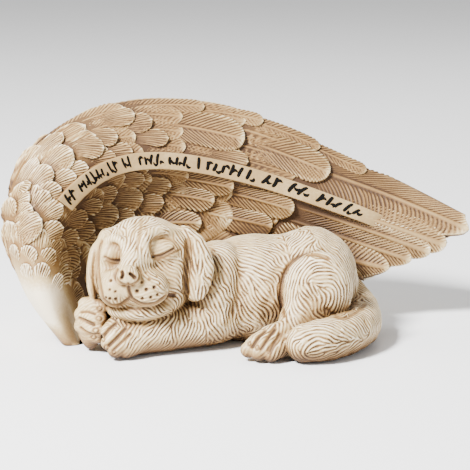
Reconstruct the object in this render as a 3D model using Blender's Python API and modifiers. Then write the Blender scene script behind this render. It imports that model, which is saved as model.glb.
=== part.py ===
"""Pet memorial statue: a puppy asleep in the crook of an angel wing, cast in one piece.

Metres, +Z up. X runs along the wing from its foot to the feather tips, and -Y is the front.
The origin lies on the flat underside, beneath the puppy's belly.
"""

import bmesh
import bpy
import numpy as np
from mathutils import Euler, Matrix, Vector

# Driving sizes, in metres.
LENGTH = 0.203  # from the wing's outer bend to the tip of its longest feather
FEATHER_PROUD = 0.0022  # how far a feather's tip stands above the next row
FEATHER_ROOT = 0.0012  # how deep a feather's root is set in the wing
RIBBON_WIDTH = 0.0086  # the smooth ribbon that carries the inscription, at its wide end
RIBBON_PROUD = 0.0023
FORM_VOXEL = 0.0011  # grid that fuses the puppy's forms
CAST_VOXEL = 0.0008  # grid that fuses the whole casting
TRIANGLES = 9600  # of the finished casting

# The figure's places and widths below are shares of its length: one unit is a millimetre at 203 mm.
MODEL_LENGTH = 203.0
UNIT = LENGTH / MODEL_LENGTH

STONE_COLOUR = (0.83, 0.74, 0.60, 1.0)
STONE_ROUGHNESS = 0.62

# The wing's front, as rows of points from its foot round to the feather tips.
# The first row is the outer edge, the last the lower edge behind the puppy.
FRONT_ACROSS = (0.0, 0.22, 0.45, 0.72, 1.0)
FRONT_ROWS = (
    (
        (-72, -13, -3), (-91, -10, 24), (-99, 0, 55), (-85, 18, 83),
        (-46, 36, 97), (7, 44, 90), (58, 42, 65), (104, 30, 40),
    ),
    (
        (-71, -15, -3), (-85, -19, 25), (-88, -10, 56), (-73, 9, 80),
        (-42, 27, 87), (4, 35, 78), (55, 35, 59), (103, 28, 38),
    ),
    (
        (-69, -15, -3), (-79, -20, 24), (-78, -9, 51), (-61, 9, 69),
        (-36, 20, 74), (2, 27, 67), (49, 28, 51), (92, 26, 34),
    ),
    (
        (-67, -14, -3), (-73, -13, 20), (-70, 2, 40), (-54, 18, 53),
        (-33, 27, 55), (0, 30, 48), (40, 29, 37), (76, 27, 27),
    ),
    (
        (-65, -12, -3), (-66, -4, -3), (-62, 10, -3), (-48, 22, -3),
        (-25, 28, -3), (8, 29, 1), (38, 28, 11), (55, 26, 19),
    ),
)
BACK_ACROSS = (0.0, 0.33, 0.66, 1.0)
BACK_ROWS = (
    (
        (-72, -8, -3), (-91, -2, 23), (-98, 8, 54), (-84, 25, 81),
        (-46, 42, 95), (7, 49, 88), (58, 46, 63), (104, 33, 39),
    ),
    (
        (-70, -5, -3), (-88, 4, 20), (-92, 16, 45), (-76, 34, 62),
        (-42, 46, 70), (5, 50, 64), (52, 44, 50), (95, 31, 35),
    ),
    (
        (-68, -3, -3), (-82, 8, 12), (-82, 22, 25), (-64, 38, 35),
        (-36, 47, 40), (2, 48, 38), (44, 41, 32), (75, 31, 27),
    ),
    (
        (-66, -2, -3), (-76, 8, -3), (-72, 22, -3), (-55, 36, -3),
        (-30, 42, -3), (6, 41, -1), (37, 36, 9), (56, 30, 18),
    ),
)
BLANK_INSET = 0.035  # share of the face by which the plain wing stops short of its outer feathers

# Feathers of the front: tip and root as (along, across) shares of the face, and width.
COVERTS = (
    ((0.59, 0.16), (0.49, 0.14), 9.5), ((0.62, 0.22), (0.54, 0.20), 11), ((0.55, 0.33), (0.46, 0.27), 10),
    ((0.51, 0.38), (0.41, 0.32), 11), ((0.57, 0.42), (0.49, 0.42), 8), ((0.43, 0.34), (0.34, 0.23), 13),
    ((0.43, 0.45), (0.37, 0.40), 7.5), ((0.40, 0.46), (0.34, 0.39), 7.5), ((0.36, 0.35), (0.29, 0.22), 12),
    ((0.35, 0.45), (0.29, 0.33), 9), ((0.32, 0.24), (0.26, 0.15), 9), ((0.30, 0.31), (0.23, 0.15), 10),
    ((0.32, 0.42), (0.26, 0.32), 7.5), ((0.27, 0.33), (0.20, 0.16), 10), ((0.31, 0.58), (0.24, 0.44), 11),
    ((0.24, 0.44), (0.17, 0.18), 14), ((0.52, 0.08), (0.41, 0.10), 8), ((0.39, 0.12), (0.30, 0.08), 8),
    ((0.72, 0.35), (0.64, 0.35), 10), ((0.61, 0.31), (0.54, 0.35), 9), ((0.27, 0.06), (0.20, 0.02), 9),
    ((0.46, 0.63), (0.38, 0.60), 7.5), ((0.54, 0.60), (0.44, 0.62), 9), ((0.40, 0.68), (0.33, 0.61), 8),
    ((0.44, 0.75), (0.34, 0.68), 11), ((0.53, 0.72), (0.41, 0.70), 12), ((0.60, 0.63), (0.50, 0.66), 9),
    ((0.58, 0.74), (0.48, 0.76), 9), ((0.35, 0.66), (0.29, 0.58), 8), ((0.36, 0.75), (0.27, 0.65), 10),
    ((0.49, 0.84), (0.38, 0.80), 10), ((0.41, 0.87), (0.30, 0.77), 10), ((0.28, 0.78), (0.20, 0.64), 11),
)
LONG_COVERTS = (
    ((0.715, 0.17), (0.57, 0.15), 17), ((0.82, 0.20), (0.70, 0.16), 15),
    ((0.71, 0.56), (0.57, 0.60), 9.5), ((0.68, 0.68), (0.55, 0.70), 10), ((0.65, 0.79), (0.53, 0.80), 10),
    ((0.80, 0.58), (0.66, 0.62), 11.5), ((0.78, 0.72), (0.64, 0.73), 11), ((0.75, 0.86), (0.61, 0.85), 11),
)
# The flight feathers, from the topmost: each lies over the one below it.
FLIGHT_FEATHERS = (
    ((1.0, 0.06), (0.74, 0.20), 20), ((1.0, 0.45), (0.78, 0.50), 11), ((1.0, 0.56), (0.76, 0.58), 11),
    ((1.0, 0.68), (0.74, 0.67), 11), ((1.0, 0.82), (0.72, 0.78), 11), ((0.99, 0.95), (0.70, 0.90), 11),
)
FLIGHT_STEP = 0.15  # share of its height by which each flight feather lies lower than the last
RIBBON_LINE = (0.335, 0.905, 0.45)  # where the ribbon starts and ends along the face, and its place across
RIBBON_TAPER = 0.2

# The puppy's rounded forms: centre, half widths, and turns in degrees about x, y and z.
BODY_FORMS = {
    "barrel": ((9, 6, 19.5), (30, 27, 24), (0, 0, 0)),
    "shoulder": ((-9, -3, 22), (14.5, 20, 21.5), (0, 10, 0)),
    "hips": ((33, 6, 25), (17, 25, 22), (0, 0, 0)),
    "rump": ((41, 6, 22), (12, 21, 19), (0, 0, 0)),
    "thigh": ((34.5, -18, 24.5), (14.5, 9.5, 17.5), (0, 10, 0)),
    "knee": ((25, -25, 13), (8, 7, 9), (0, 30, 0)),
    "neck": ((-20, -8, 28), (14, 15, 17), (0, 0, 0)),
    "cranium": ((-38, -17, 41), (18.5, 16.5, 15), (0, 0, 0)),
    "right temple": ((-24.5, -19, 43), (7, 10, 9), (0, 20, 0)),
    "brow": ((-37.5, -24, 47.5), (13, 9, 7), (0, -8, 0)),
    "face": ((-41, -25, 31), (16.5, 13, 12), (0, 0, 0)),
    "muzzle": ((-43.5, -33, 30.5), (12, 11, 9), (0, 0, 0)),
    "right cheek": ((-26, -21, 31.5), (7.5, 11, 12), (0, 0, 0)),
    "left cheek": ((-55, -21, 33), (5, 9, 11), (0, 0, 0)),
    "chin": ((-39.5, -29, 20.5), (13, 9, 4.8), (0, -4, 0)),
    "near paw": ((-48, -33, 8), (8, 8, 8), (0, 0, 0)),
    "far paw": ((-58, -21, 11), (6, 7, 11), (0, 0, 0)),
    "hind paw": ((14, -37, 7.5), (10, 7.5, 6.5), (0, 0, 0)),
}
# Forms that keep their own edges: they are fused after the body has been smoothed.
DETAIL_FORMS = {
    "nose": ((-43.6, -43, 38), (4.8, 4, 4.1), (0, 0, 0)),
    "left flew": ((-50.6, -34.5, 28.5), (7, 8, 7.4), (0, 0, 0)),
    "right flew": ((-36.8, -35.5, 28.6), (8.4, 8, 7.6), (0, 0, 0)),
    "right eyelid": ((-30.2, -28.6, 44.3), (5.8, 3.6, 5.2), (0, -20, 0)),
    "left eyelid": ((-51, -28.3, 43.3), (4.2, 3.8, 5.0), (0, 10, 0)),
    "right ear root": ((-19.5, -22.5, 46), (6, 4.4, 6), (0, 35, 0)),
    "right ear": ((-14.6, -25, 38), (7, 3.8, 10.5), (0, 0, 0)),
    "right ear lobe": ((-16, -26.5, 30), (5.8, 3.6, 7), (0, 10, 0)),
    "left ear root": ((-56.5, -17.5, 45), (3.4, 4, 4.5), (0, 30, 0)),
    "left ear": ((-59.8, -20, 37), (2.6, 5.5, 10), (0, 5, 0)),
    "left ear lobe": ((-60.3, -22, 29.5), (2.6, 5, 6), (0, 0, 0)),
    "near toe 1": ((-52.6, -35, 13.0), (5, 3.4, 3.0), (0, 10, 0)),
    "near toe 2": ((-53.4, -37, 9.0), (5, 3.4, 3.0), (0, 0, 0)),
    "near toe 3": ((-50.8, -39.5, 5.2), (5, 3.4, 3.0), (0, -15, 0)),
    "near toe 4": ((-46.7, -40.5, 3.2), (5, 3.2, 2.8), (0, -20, 0)),
    "far toe 1": ((-60.5, -26.5, 18.0), (4.8, 3.6, 3.4), (0, 25, 0)),
    "far toe 2": ((-60.5, -27, 11.6), (4.8, 3.6, 3.2), (0, 15, 0)),
    "far toe 3": ((-60, -27, 5.6), (4.8, 3.6, 3.0), (0, 5, 0)),
    "hind toe 1": ((7, -40, 6.0), (3.2, 4.8, 3.0), (0, 0, 0)),
    "hind toe 2": ((10.2, -42.6, 4.0), (2.9, 4.8, 3.0), (0, 0, 0)),
    "hind toe 3": ((14.6, -43.4, 3.0), (2.9, 4.8, 2.8), (0, 0, 0)),
}
# Limbs are swept along a line of points, each with its own radius.
LIMBS = {
    "forearm": ((-4, -13, 11, 9), (-19, -19, 10.5, 9.5), (-35, -25.5, 9.2, 9.0), (-46, -32, 8.2, 8.2)),
    "far forearm": ((-44, -12, 10, 8), (-58, -20, 10, 7)),
    "shank": ((30, -26, 11, 7.5), (22, -31.5, 9.5, 7), (13, -36, 7.8, 6.5)),
    "nose bridge": ((-43.6, -39, 38.5, 4.6), (-41, -33, 42, 6), (-38.5, -26, 46.5, 8)),
}
TAIL = (
    (49, 11, 17, 7.5), (53, -5, 11, 8), (51, -21, 9, 8.2),
    (43, -34, 8.4, 8.2), (34.5, -40.5, 8, 8), (27, -41.5, 8, 7.4),
)


def spline_weights(knots, t):
    """Weights (len(t), len(knots)) of a smooth curve that passes through a value at each knot."""
    knots = np.asarray(knots, float)
    t = np.atleast_1d(np.asarray(t, float))
    slopes = np.gradient(np.eye(len(knots)), knots, axis=0)
    i = np.clip(np.searchsorted(knots, t) - 1, 0, len(knots) - 2)
    step = (knots[i + 1] - knots[i])[:, None]
    x = (t - knots[i])[:, None] / step
    unit = np.eye(len(knots))
    return (
        (2 * x**3 - 3 * x**2 + 1) * unit[i]
        + (x**3 - 2 * x**2 + x) * step * slopes[i]
        + (3 * x**2 - 2 * x**3) * unit[i + 1]
        + (x**3 - x**2) * step * slopes[i + 1]
    )


class WingFace:
    """A curved face of the wing, seen from the front.

    along runs from 0 at the foot to 1 at the tips, across from 0 at the outer edge to 1 at the lower.
    """

    def __init__(self, across, rows):
        self.across = across
        self.points = np.array(rows, float) * UNIT
        self.along = np.linspace(0, 1, self.points.shape[1])

    def place(self, along, across):
        a = spline_weights(self.along, along)
        c = spline_weights(self.across, across)
        return np.einsum("ni,nj,jik->nk", a, c, self.points)

    def directions(self, along, across):
        """How the place changes with along and across, and the unit normal towards the viewer."""
        step = 0.01
        u = np.clip(along, step, 1 - step)
        v = np.clip(across, step, 1 - step)
        by_along = (self.place(u + step, v) - self.place(u - step, v)) / (2 * step)
        by_across = (self.place(u, v + step) - self.place(u, v - step)) / (2 * step)
        normal = np.cross(by_across, by_along)
        normal /= np.linalg.norm(normal, axis=1)[:, None]
        return by_along, by_across, normal


def add_sheet(bm, along_cells, across_cells, shape):
    """A closed sheet. shape(s, t, top) gives the points of its upper or lower face, s and t from 0 to 1."""
    made = bmesh.ops.create_grid(bm, x_segments=along_cells, y_segments=across_cells, size=0.5)["verts"]
    flat = np.array([v.co[:2] for v in made]) + 0.5
    faces = list({f for v in made for f in v.link_faces})
    lower = bmesh.ops.extrude_face_region(bm, geom=faces, use_keep_orig=True)["geom"]
    lower = [g for g in lower if isinstance(g, bmesh.types.BMVert)]
    flat_lower = np.array([v.co[:2] for v in lower]) + 0.5
    for verts, st, top in ((made, flat, True), (lower, flat_lower, False)):
        for vert, place in zip(verts, shape(st[:, 0], st[:, 1], top)):
            vert.co = place
    shell = list({f for v in made + lower for f in v.link_faces})
    bmesh.ops.recalc_face_normals(bm, faces=shell)


def object_from(bm, name):
    mesh = bpy.data.meshes.new(name)
    bm.to_mesh(mesh)
    bm.free()
    made = bpy.data.objects.new(name, mesh)
    FORMS.objects.link(made)
    return made


def wing_blank(front, back):
    """The wing before its feathers are carved: front and back faces, closed at the edges."""
    bm = bmesh.new()

    def shape(s, t, top):
        along = s * (1 - 2 * BLANK_INSET)
        across = BLANK_INSET + t * (1 - BLANK_INSET)
        return (front if top else back).place(along, across)

    add_sheet(bm, 56, 28, shape)
    return object_from(bm, "wing_blank")


def add_feather(bm, face, side, tip, root, width, proud, cells):
    """One feather on a face of the wing, from root to tip. It rises towards its tip."""
    widest, blunt, narrow_root, crown = 0.6, 2.4, 0.72, 0.35
    under = 1.6 * FEATHER_ROOT

    def shape(s, t, top):
        beside = 2 * (t - 0.5)
        line = np.array(root) + np.outer(s, np.array(tip) - np.array(root))
        by_along, by_across, normal = face.directions(line[:, 0], line[:, 1])
        heading = by_along * (tip[0] - root[0]) + by_across * (tip[1] - root[1])
        sideways = np.cross(normal, heading)
        sideways /= np.linalg.norm(sideways, axis=1)[:, None]
        rounded = np.clip(1 - np.clip((s - widest) / (1 - widest), 0, 1) ** blunt, 0.004, 1) ** 0.5
        swell = narrow_root + (1 - narrow_root) * np.clip(s / widest, 0, 1)
        offset = sideways * (0.5 * width * UNIT * rounded * swell * beside)[:, None]
        # The sideways step as shares of the face, by least squares on its two directions.
        aa = (by_along**2).sum(1)
        cc = (by_across**2).sum(1)
        ac = (by_along * by_across).sum(1)
        oa = (offset * by_along).sum(1)
        oc = (offset * by_across).sum(1)
        span = aa * cc - ac**2
        along = np.clip(line[:, 0] + (oa * cc - oc * ac) / span, 0, 1.01)
        across = np.clip(line[:, 1] + (oc * aa - oa * ac) / span, -0.03, 1.01)
        place = face.place(along, across)
        normal = face.directions(along, across)[2]
        camber = 1 - crown * beside**2
        lift = (-FEATHER_ROOT + (FEATHER_ROOT + proud) * s**0.8) * camber
        height = lift if top else np.full_like(s, -under)
        return place + side * normal * height[:, None]

    add_sheet(bm, cells[0], cells[1], shape)


def shoulder_rows(bm, face, side, first, last, rows, across_step, width, proud):
    """Rows of small staggered scales, tip to root, that grow along the wing."""
    for row in range(rows):
        share = row / (rows - 1)
        tip = first + (last - first) * share
        start = 0.04 + (0.5 * across_step if row % 2 else 0.0)
        for across in np.arange(start, 0.97, across_step):
            size = width * (0.75 + 0.25 * share)
            add_feather(bm, face, side, (tip, across), (tip - 0.06 - 0.02 * share, across), size, proud, (6, 4))


def front_feathers(front):
    bm = bmesh.new()
    shoulder_rows(bm, front, 1, 0.07, 0.19, 4, 0.27, 10, 0.5 * FEATHER_PROUD)
    for tip, root, width in COVERTS:
        add_feather(bm, front, 1, tip, root, width, 0.85 * FEATHER_PROUD, (8, 6))
    for tip, root, width in LONG_COVERTS:
        add_feather(bm, front, 1, tip, root, width, FEATHER_PROUD, (14, 8))
    for number, (tip, root, width) in enumerate(FLIGHT_FEATHERS):
        proud = FEATHER_PROUD * (0.9 - FLIGHT_STEP * number)
        add_feather(bm, front, 1, tip, root, width, proud, (20, 8))
    return object_from(bm, "front_feathers")


def back_feathers(back):
    """The back, plainer: four tiers, each longer than the last."""
    bm = bmesh.new()
    shoulder_rows(bm, back, -1, 0.12, 0.52, 8, 0.2, 13, 0.7 * FEATHER_PROUD)
    for tip, length, step, width in ((0.66, 0.20, 0.2, 15), (0.80, 0.24, 0.2, 14), (1.0, 0.32, 0.19, 11)):
        for across in np.arange(0.06, 1.0, step):
            add_feather(bm, back, -1, (tip, across), (tip - length, across), width, FEATHER_PROUD, (14, 6))
    return object_from(bm, "back_feathers")


def ribbon(front):
    """The smooth band along the wing's brow."""
    bm = bmesh.new()
    start, end, middle = RIBBON_LINE

    def shape(s, t, top):
        along = start + (end - start) * s
        across = np.full_like(s, middle)
        _, over, normal = front.directions(along, across)
        over /= np.linalg.norm(over, axis=1)[:, None]
        width = RIBBON_WIDTH * (1 - RIBBON_TAPER * s)
        height = RIBBON_PROUD if top else -FEATHER_ROOT
        return front.place(along, across) + over * (width * (t - 0.5))[:, None] + normal * height

    add_sheet(bm, 30, 2, shape)
    return object_from(bm, "ribbon")


def add_ball(bm, centre, half_widths, turns):
    """A rounded form, one of the puppy's masses."""
    turned = Euler([np.radians(a) for a in turns]).to_matrix().to_4x4()
    sized = Matrix.Diagonal((*(Vector(half_widths) * UNIT), 1))
    matrix = Matrix.Translation(Vector(centre) * UNIT) @ turned @ sized
    bmesh.ops.create_uvsphere(bm, u_segments=28, v_segments=18, radius=1.0, matrix=matrix)


def forms_object(forms, name):
    bm = bmesh.new()
    for centre, half_widths, turns in forms.values():
        add_ball(bm, centre, half_widths, turns)
    return object_from(bm, name)


def limb(points, name):
    """A tube whose radius changes along its line, with a ball in each end."""
    curve = bpy.data.curves.new(name, "CURVE")
    curve.dimensions = "3D"
    curve.bevel_depth = UNIT
    curve.bevel_resolution = 5
    curve.resolution_u = 6
    curve.use_fill_caps = True
    spline = curve.splines.new("BEZIER")
    spline.bezier_points.add(len(points) - 1)
    for handle, (x, y, z, radius) in zip(spline.bezier_points, points):
        handle.co = Vector((x, y, z)) * UNIT
        handle.radius = radius
        handle.handle_left_type = handle.handle_right_type = "AUTO"
    swept = bpy.data.objects.new(name, curve)
    FORMS.objects.link(swept)
    mesh = bpy.data.meshes.new_from_object(swept.evaluated_get(bpy.context.evaluated_depsgraph_get()))
    bpy.data.objects.remove(swept)
    bm = bmesh.new()
    bm.from_mesh(mesh)
    bmesh.ops.remove_doubles(bm, verts=bm.verts, dist=1e-6)
    for x, y, z, radius in (points[0], points[-1]):
        add_ball(bm, (x, y, z), (radius, radius, radius), (0, 0, 0))
    return object_from(bm, name)


def joined(pieces, name):
    """Several meshes in one object, ready to be fused."""
    bm = bmesh.new()
    for piece in pieces:
        bm.from_mesh(piece.data)
        bpy.data.objects.remove(piece)
    return object_from(bm, name)


def applied(made):
    """The object with its modifiers worked into its mesh."""
    bpy.context.view_layer.update()
    mesh = bpy.data.meshes.new_from_object(made.evaluated_get(bpy.context.evaluated_depsgraph_get()))
    made.modifiers.clear()
    made.data = mesh
    return made


def fused(made, voxel, smoothing):
    remesh = made.modifiers.new("fuse", "REMESH")
    remesh.mode = "VOXEL"
    remesh.voxel_size = voxel
    smooth = made.modifiers.new("soften", "SMOOTH")
    smooth.factor = 0.5
    smooth.iterations = smoothing
    return applied(made)


def puppy():
    pieces = [forms_object(BODY_FORMS, "body_forms")]
    pieces += [limb(points, name.replace(" ", "_")) for name, points in LIMBS.items()]
    body = fused(joined(pieces, "puppy_body"), FORM_VOXEL, smoothing=5)
    details = forms_object(DETAIL_FORMS, "puppy_details")
    tail = limb(TAIL, "tail")
    return joined([body, details, tail], "puppy")


def cut_flat(made):
    """Takes off what lies below the ground, which leaves the flat underside."""
    bpy.ops.mesh.primitive_cube_add(size=1)
    ground = bpy.context.object
    ground.name = "ground_cutter"
    depth = 0.05 * LENGTH
    ground.data.transform(Matrix.Diagonal((1.5 * LENGTH, LENGTH, depth, 1)))
    ground.location.z = -depth / 2
    ground.hide_render = True
    ground.display_type = "WIRE"
    for collection in ground.users_collection:
        collection.objects.unlink(ground)
    CUTTERS.objects.link(ground)
    cut = made.modifiers.new("flat underside", "BOOLEAN")
    cut.operation = "DIFFERENCE"
    cut.object = ground


def stone():
    material = bpy.data.materials.new("cast stone")
    material.use_nodes = True
    shader = material.node_tree.nodes["Principled BSDF"]
    shader.inputs["Base Color"].default_value = STONE_COLOUR
    shader.inputs["Roughness"].default_value = STONE_ROUGHNESS
    shader.inputs["Metallic"].default_value = 0.0
    return material


for old in list(bpy.data.objects):
    bpy.data.objects.remove(old)
FORMS = bpy.data.collections.new("sleeping puppy memorial")
CUTTERS = bpy.data.collections.new("cutters")
for collection in (FORMS, CUTTERS):
    bpy.context.scene.collection.children.link(collection)

wing_front = WingFace(FRONT_ACROSS, FRONT_ROWS)
wing_back = WingFace(BACK_ACROSS, BACK_ROWS)
wing = [
    wing_blank(wing_front, wing_back),
    front_feathers(wing_front),
    back_feathers(wing_back),
    ribbon(wing_front),
]
statue = fused(joined([*wing, puppy()], "puppy_in_wing"), CAST_VOXEL, smoothing=1)
thin = statue.modifiers.new("fewer faces", "DECIMATE")
thin.ratio = min(1.0, TRIANGLES / (2 * len(statue.data.polygons)))
applied(statue)
cut_flat(statue)
statue.data.materials.clear()
statue.data.materials.append(stone())
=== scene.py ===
import bpy
import bmesh
import math
import numpy as np
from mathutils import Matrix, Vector


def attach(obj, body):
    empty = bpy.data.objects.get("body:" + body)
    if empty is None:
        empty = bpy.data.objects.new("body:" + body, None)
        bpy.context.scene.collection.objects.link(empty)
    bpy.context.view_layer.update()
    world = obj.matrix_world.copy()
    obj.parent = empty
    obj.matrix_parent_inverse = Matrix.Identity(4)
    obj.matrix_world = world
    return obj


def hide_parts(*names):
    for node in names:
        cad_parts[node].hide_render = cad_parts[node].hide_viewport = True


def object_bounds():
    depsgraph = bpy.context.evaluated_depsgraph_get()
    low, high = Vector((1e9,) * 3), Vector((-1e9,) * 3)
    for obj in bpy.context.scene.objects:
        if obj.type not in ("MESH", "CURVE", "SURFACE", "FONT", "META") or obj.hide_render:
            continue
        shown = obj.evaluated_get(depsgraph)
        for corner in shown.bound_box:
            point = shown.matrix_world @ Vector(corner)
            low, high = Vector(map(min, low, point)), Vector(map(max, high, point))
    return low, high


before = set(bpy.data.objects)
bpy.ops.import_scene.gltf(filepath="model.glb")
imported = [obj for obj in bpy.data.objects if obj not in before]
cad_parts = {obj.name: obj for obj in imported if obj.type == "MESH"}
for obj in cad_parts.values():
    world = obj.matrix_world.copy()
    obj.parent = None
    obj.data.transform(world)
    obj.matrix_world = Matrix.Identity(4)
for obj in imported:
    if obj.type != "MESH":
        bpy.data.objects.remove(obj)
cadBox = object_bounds()

# Everything below is in model units, a millimetre each on the 204 mm long statue.
modelLength = 204.1
unit = (cadBox[1][0] - cadBox[0][0]) / modelLength

# The photograph's camera, also used to place the fur and the lines of the face and the paws.
camera = {"elevation": 12.0, "distance": 800.0, "target": (0.0, 0.0, 45.0), "perPixel": 0.43, "pixels": 470,
          "sensor": 36.0}

wing = {
    "frontAcross": (0.0, 0.22, 0.45, 0.72, 1.0),
    "frontRows": (
        ((-72, -13, -3), (-91, -10, 24), (-99, 0, 55), (-85, 18, 83),
         (-46, 36, 97), (7, 44, 90), (58, 42, 65.5), (101.5, 31, 45.5)),
        ((-71, -15, -3), (-85, -19, 25), (-88, -10, 56), (-73, 9, 80),
         (-42, 27, 87), (4, 35, 78), (55, 35, 59), (104, 28, 38.5)),
        ((-69, -15, -3), (-79, -20, 24), (-78, -9, 51), (-61, 9, 69),
         (-36, 20, 74), (2, 27, 67), (49, 28, 51), (92, 26, 34)),
        ((-67, -14, -3), (-73, -13, 20), (-70, 2, 40), (-54, 18, 53),
         (-33, 27, 55), (0, 30, 48), (40, 29, 37), (76, 27, 27)),
        ((-65, -12, -3), (-66, -4, -3), (-62, 10, -3), (-48, 22, -3),
         (-25, 28, -3), (8, 29, 1), (38, 28, 11), (55, 26, 19)),
    ),
    "backAcross": (0.0, 0.33, 0.66, 1.0),
    "backRows": (
        ((-72, -8, -3), (-91, -2, 23), (-98, 8, 54), (-84, 25, 81),
         (-46, 42, 95), (7, 49, 88), (58, 46, 63.5), (101.5, 34, 44.5)),
        ((-70, -5, -3), (-88, 4, 20), (-92, 16, 45), (-76, 34, 62),
         (-42, 46, 70), (5, 50, 64), (52, 44, 50), (95, 31, 35)),
        ((-68, -3, -3), (-82, 8, 12), (-82, 22, 25), (-64, 38, 35),
         (-36, 47, 40), (2, 48, 38), (44, 41, 32), (75, 31, 27)),
        ((-66, -2, -3), (-76, 8, -3), (-72, 22, -3), (-55, 36, -3),
         (-30, 42, -3), (6, 41, -1), (37, 36, 9), (56, 30, 18)),
    ),
    "blankInset": 0.012,
    "blankCells": (120, 48),
    "blankStain": 0.45,
    "proud": 2.1,
    "rootDepth": 1.2,
}

# Feathers: tip and root as (along, across) shares of the wing's face, and width.
coverts = (
    ((0.593, 0.163), (0.53, 0.20), 10.2), ((0.570, 0.117), (0.495, 0.107), 10.4),
    ((0.610, 0.300), (0.54, 0.27), 8.8), ((0.525, 0.283), (0.465, 0.18), 9.4),
    ((0.487, 0.327), (0.43, 0.20), 10.4), ((0.537, 0.387), (0.47, 0.35), 8.6),
    ((0.497, 0.410), (0.43, 0.36), 8.6), ((0.435, 0.250), (0.36, 0.19), 12.6),
    ((0.430, 0.383), (0.375, 0.31), 7.6), ((0.398, 0.377), (0.35, 0.30), 9.0),
    ((0.383, 0.237), (0.32, 0.15), 11.0), ((0.360, 0.357), (0.31, 0.26), 9.6),
    ((0.340, 0.313), (0.29, 0.26), 7.2), ((0.333, 0.437), (0.28, 0.34), 9.0),
    ((0.333, 0.180), (0.34, 0.03), 6.0), ((0.318, 0.213), (0.30, 0.05), 8.6),
    ((0.300, 0.257), (0.27, 0.09), 9.2), ((0.285, 0.347), (0.225, 0.05), 14),
    ((0.292, 0.540), (0.24, 0.38), 9.4), ((0.542, 0.597), (0.45, 0.597), 8.4),
    ((0.600, 0.640), (0.505, 0.667), 9.6), ((0.453, 0.650), (0.38, 0.62), 9.2),
    ((0.525, 0.713), (0.41, 0.683), 11.6), ((0.578, 0.723), (0.48, 0.733), 9.2),
    ((0.398, 0.680), (0.33, 0.58), 7.8), ((0.438, 0.750), (0.34, 0.683), 10.8),
    ((0.350, 0.677), (0.29, 0.55), 9.0), ((0.360, 0.743), (0.28, 0.65), 8.2),
    ((0.492, 0.763), (0.40, 0.75), 9.2), ((0.305, 0.710), (0.245, 0.583), 8.0),
    ((0.723, 0.357), (0.64, 0.343), 9.0), ((0.455, 0.10), (0.37, 0.06), 9.5),
    ((0.39, 0.12), (0.32, 0.05), 8), ((0.49, 0.84), (0.38, 0.80), 10), ((0.41, 0.87), (0.30, 0.77), 10),
    ((0.28, 0.78), (0.20, 0.64), 9), ((0.312, 0.07), (0.262, 0.02), 10.5),
)
longCoverts = (
    ((0.713, 0.185), (0.57, 0.17), 17.5), ((0.820, 0.205), (0.69, 0.17), 16.5),
    ((0.71, 0.56), (0.57, 0.60), 10.5), ((0.68, 0.68), (0.55, 0.70), 11), ((0.65, 0.77), (0.53, 0.79), 11),
    ((0.80, 0.59), (0.66, 0.63), 12), ((0.775, 0.73), (0.64, 0.74), 12), ((0.75, 0.86), (0.61, 0.85), 12),
)
flightFeathers = (
    ((1.0, 0.14), (0.74, 0.22), 21), ((1.0, 0.42), (0.78, 0.50), 14), ((1.0, 0.54), (0.76, 0.58), 14),
    ((1.0, 0.68), (0.74, 0.67), 14), ((1.0, 0.82), (0.72, 0.78), 14), ((0.99, 0.95), (0.70, 0.90), 13),
)
# Small worn scales that die away into the smooth foot.
footScales = (
    ((0.258, 0.593), (0.21, 0.49), 7.4), ((0.235, 0.547), (0.19, 0.40), 8.2),
    ((0.253, 0.733), (0.18, 0.59), 7.6), ((0.297, 0.703), (0.24, 0.62), 7.4),
    ((0.285, 0.800), (0.20, 0.76), 7.0), ((0.233, 0.770), (0.15, 0.62), 7.4),
    ((0.270, 0.860), (0.17, 0.83), 6.6), ((0.225, 0.120), (0.185, 0.01), 8.0),
    ((0.228, 0.307), (0.185, 0.16), 9.0), ((0.362, 0.767), (0.29, 0.72), 7.0),
    ((0.302, 0.767), (0.25, 0.72), 6.4), ((0.19, 0.68), (0.13, 0.52), 6.4),
    ((0.268, 0.10), (0.215, 0.04), 9.4), ((0.205, 0.44), (0.15, 0.33), 7.4),
    ((0.195, 0.22), (0.145, 0.13), 7.6),
)
# Tips of the far layer that show above the top edge.
crestFeathers = (
    ((0.66, 0.01), (0.52, 0.05), 7), ((0.73, 0.01), (0.60, 0.05), 7), ((0.80, 0.01), (0.66, 0.05), 7),
    ((0.86, 0.0), (0.73, 0.05), 7),
)
# How each layer is carved: ribs that fan out from the root, or barbs that slant away from a shaft.
layerInputs = ("Rows", "Columns", "Barb Period", "Barb Depth", "Shaft Height", "Sweep", "Fan", "Tip Length")
layers = {
    "covert": (28, 44, 1.15, 0.42, 0.05, 0.5, 1.0, 0.62),
    "under": (16, 26, 1.25, 0.32, 0.05, 0.5, 1.0, 0.62),
    "lower": (56, 20, 2.0, 0.36, 0.1, 1.4, 0.0, 0.7),
    "long": (116, 28, 2.2, 0.45, 0.22, 1.5, 0.0, 0.62),
    "flight": (180, 42, 2.2, 0.60, 0.36, 1.7, 0.0, 1.15),
    "crest": (100, 18, 1.9, 0.4, 0.1, 1.3, 0.0, 0.7),
    "back": (52, 18, 2.6, 0.4, 0.25, 1.4, 0.0, 0.65),
}
# The low layer beneath the others, from the foot to the ribbed lower feathers and on to the tips.
under = {"alongStep": 0.075, "acrossStep": 0.115, "overlap": 1.5, "proud": 0.55, "from": 0.27, "until": 0.55,
         "lowerFrom": 0.56, "lowerUntil": 0.83, "length": 0.10, "growFrom": 0.42, "growOver": 0.3}
# The plainer back: rows of scales at the shoulder, then tiers as (tip, length, first across, width).
backLayer = {
    "from": 0.20, "until": 0.58, "rows": 10, "acrossStep": 0.135, "width": 13.0, "proud": 0.75,
    "tiers": ((1.0, 0.34, 0.06, 10), (0.83, 0.26, 0.12, 13), (0.70, 0.24, 0.05, 14)),
}


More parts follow.
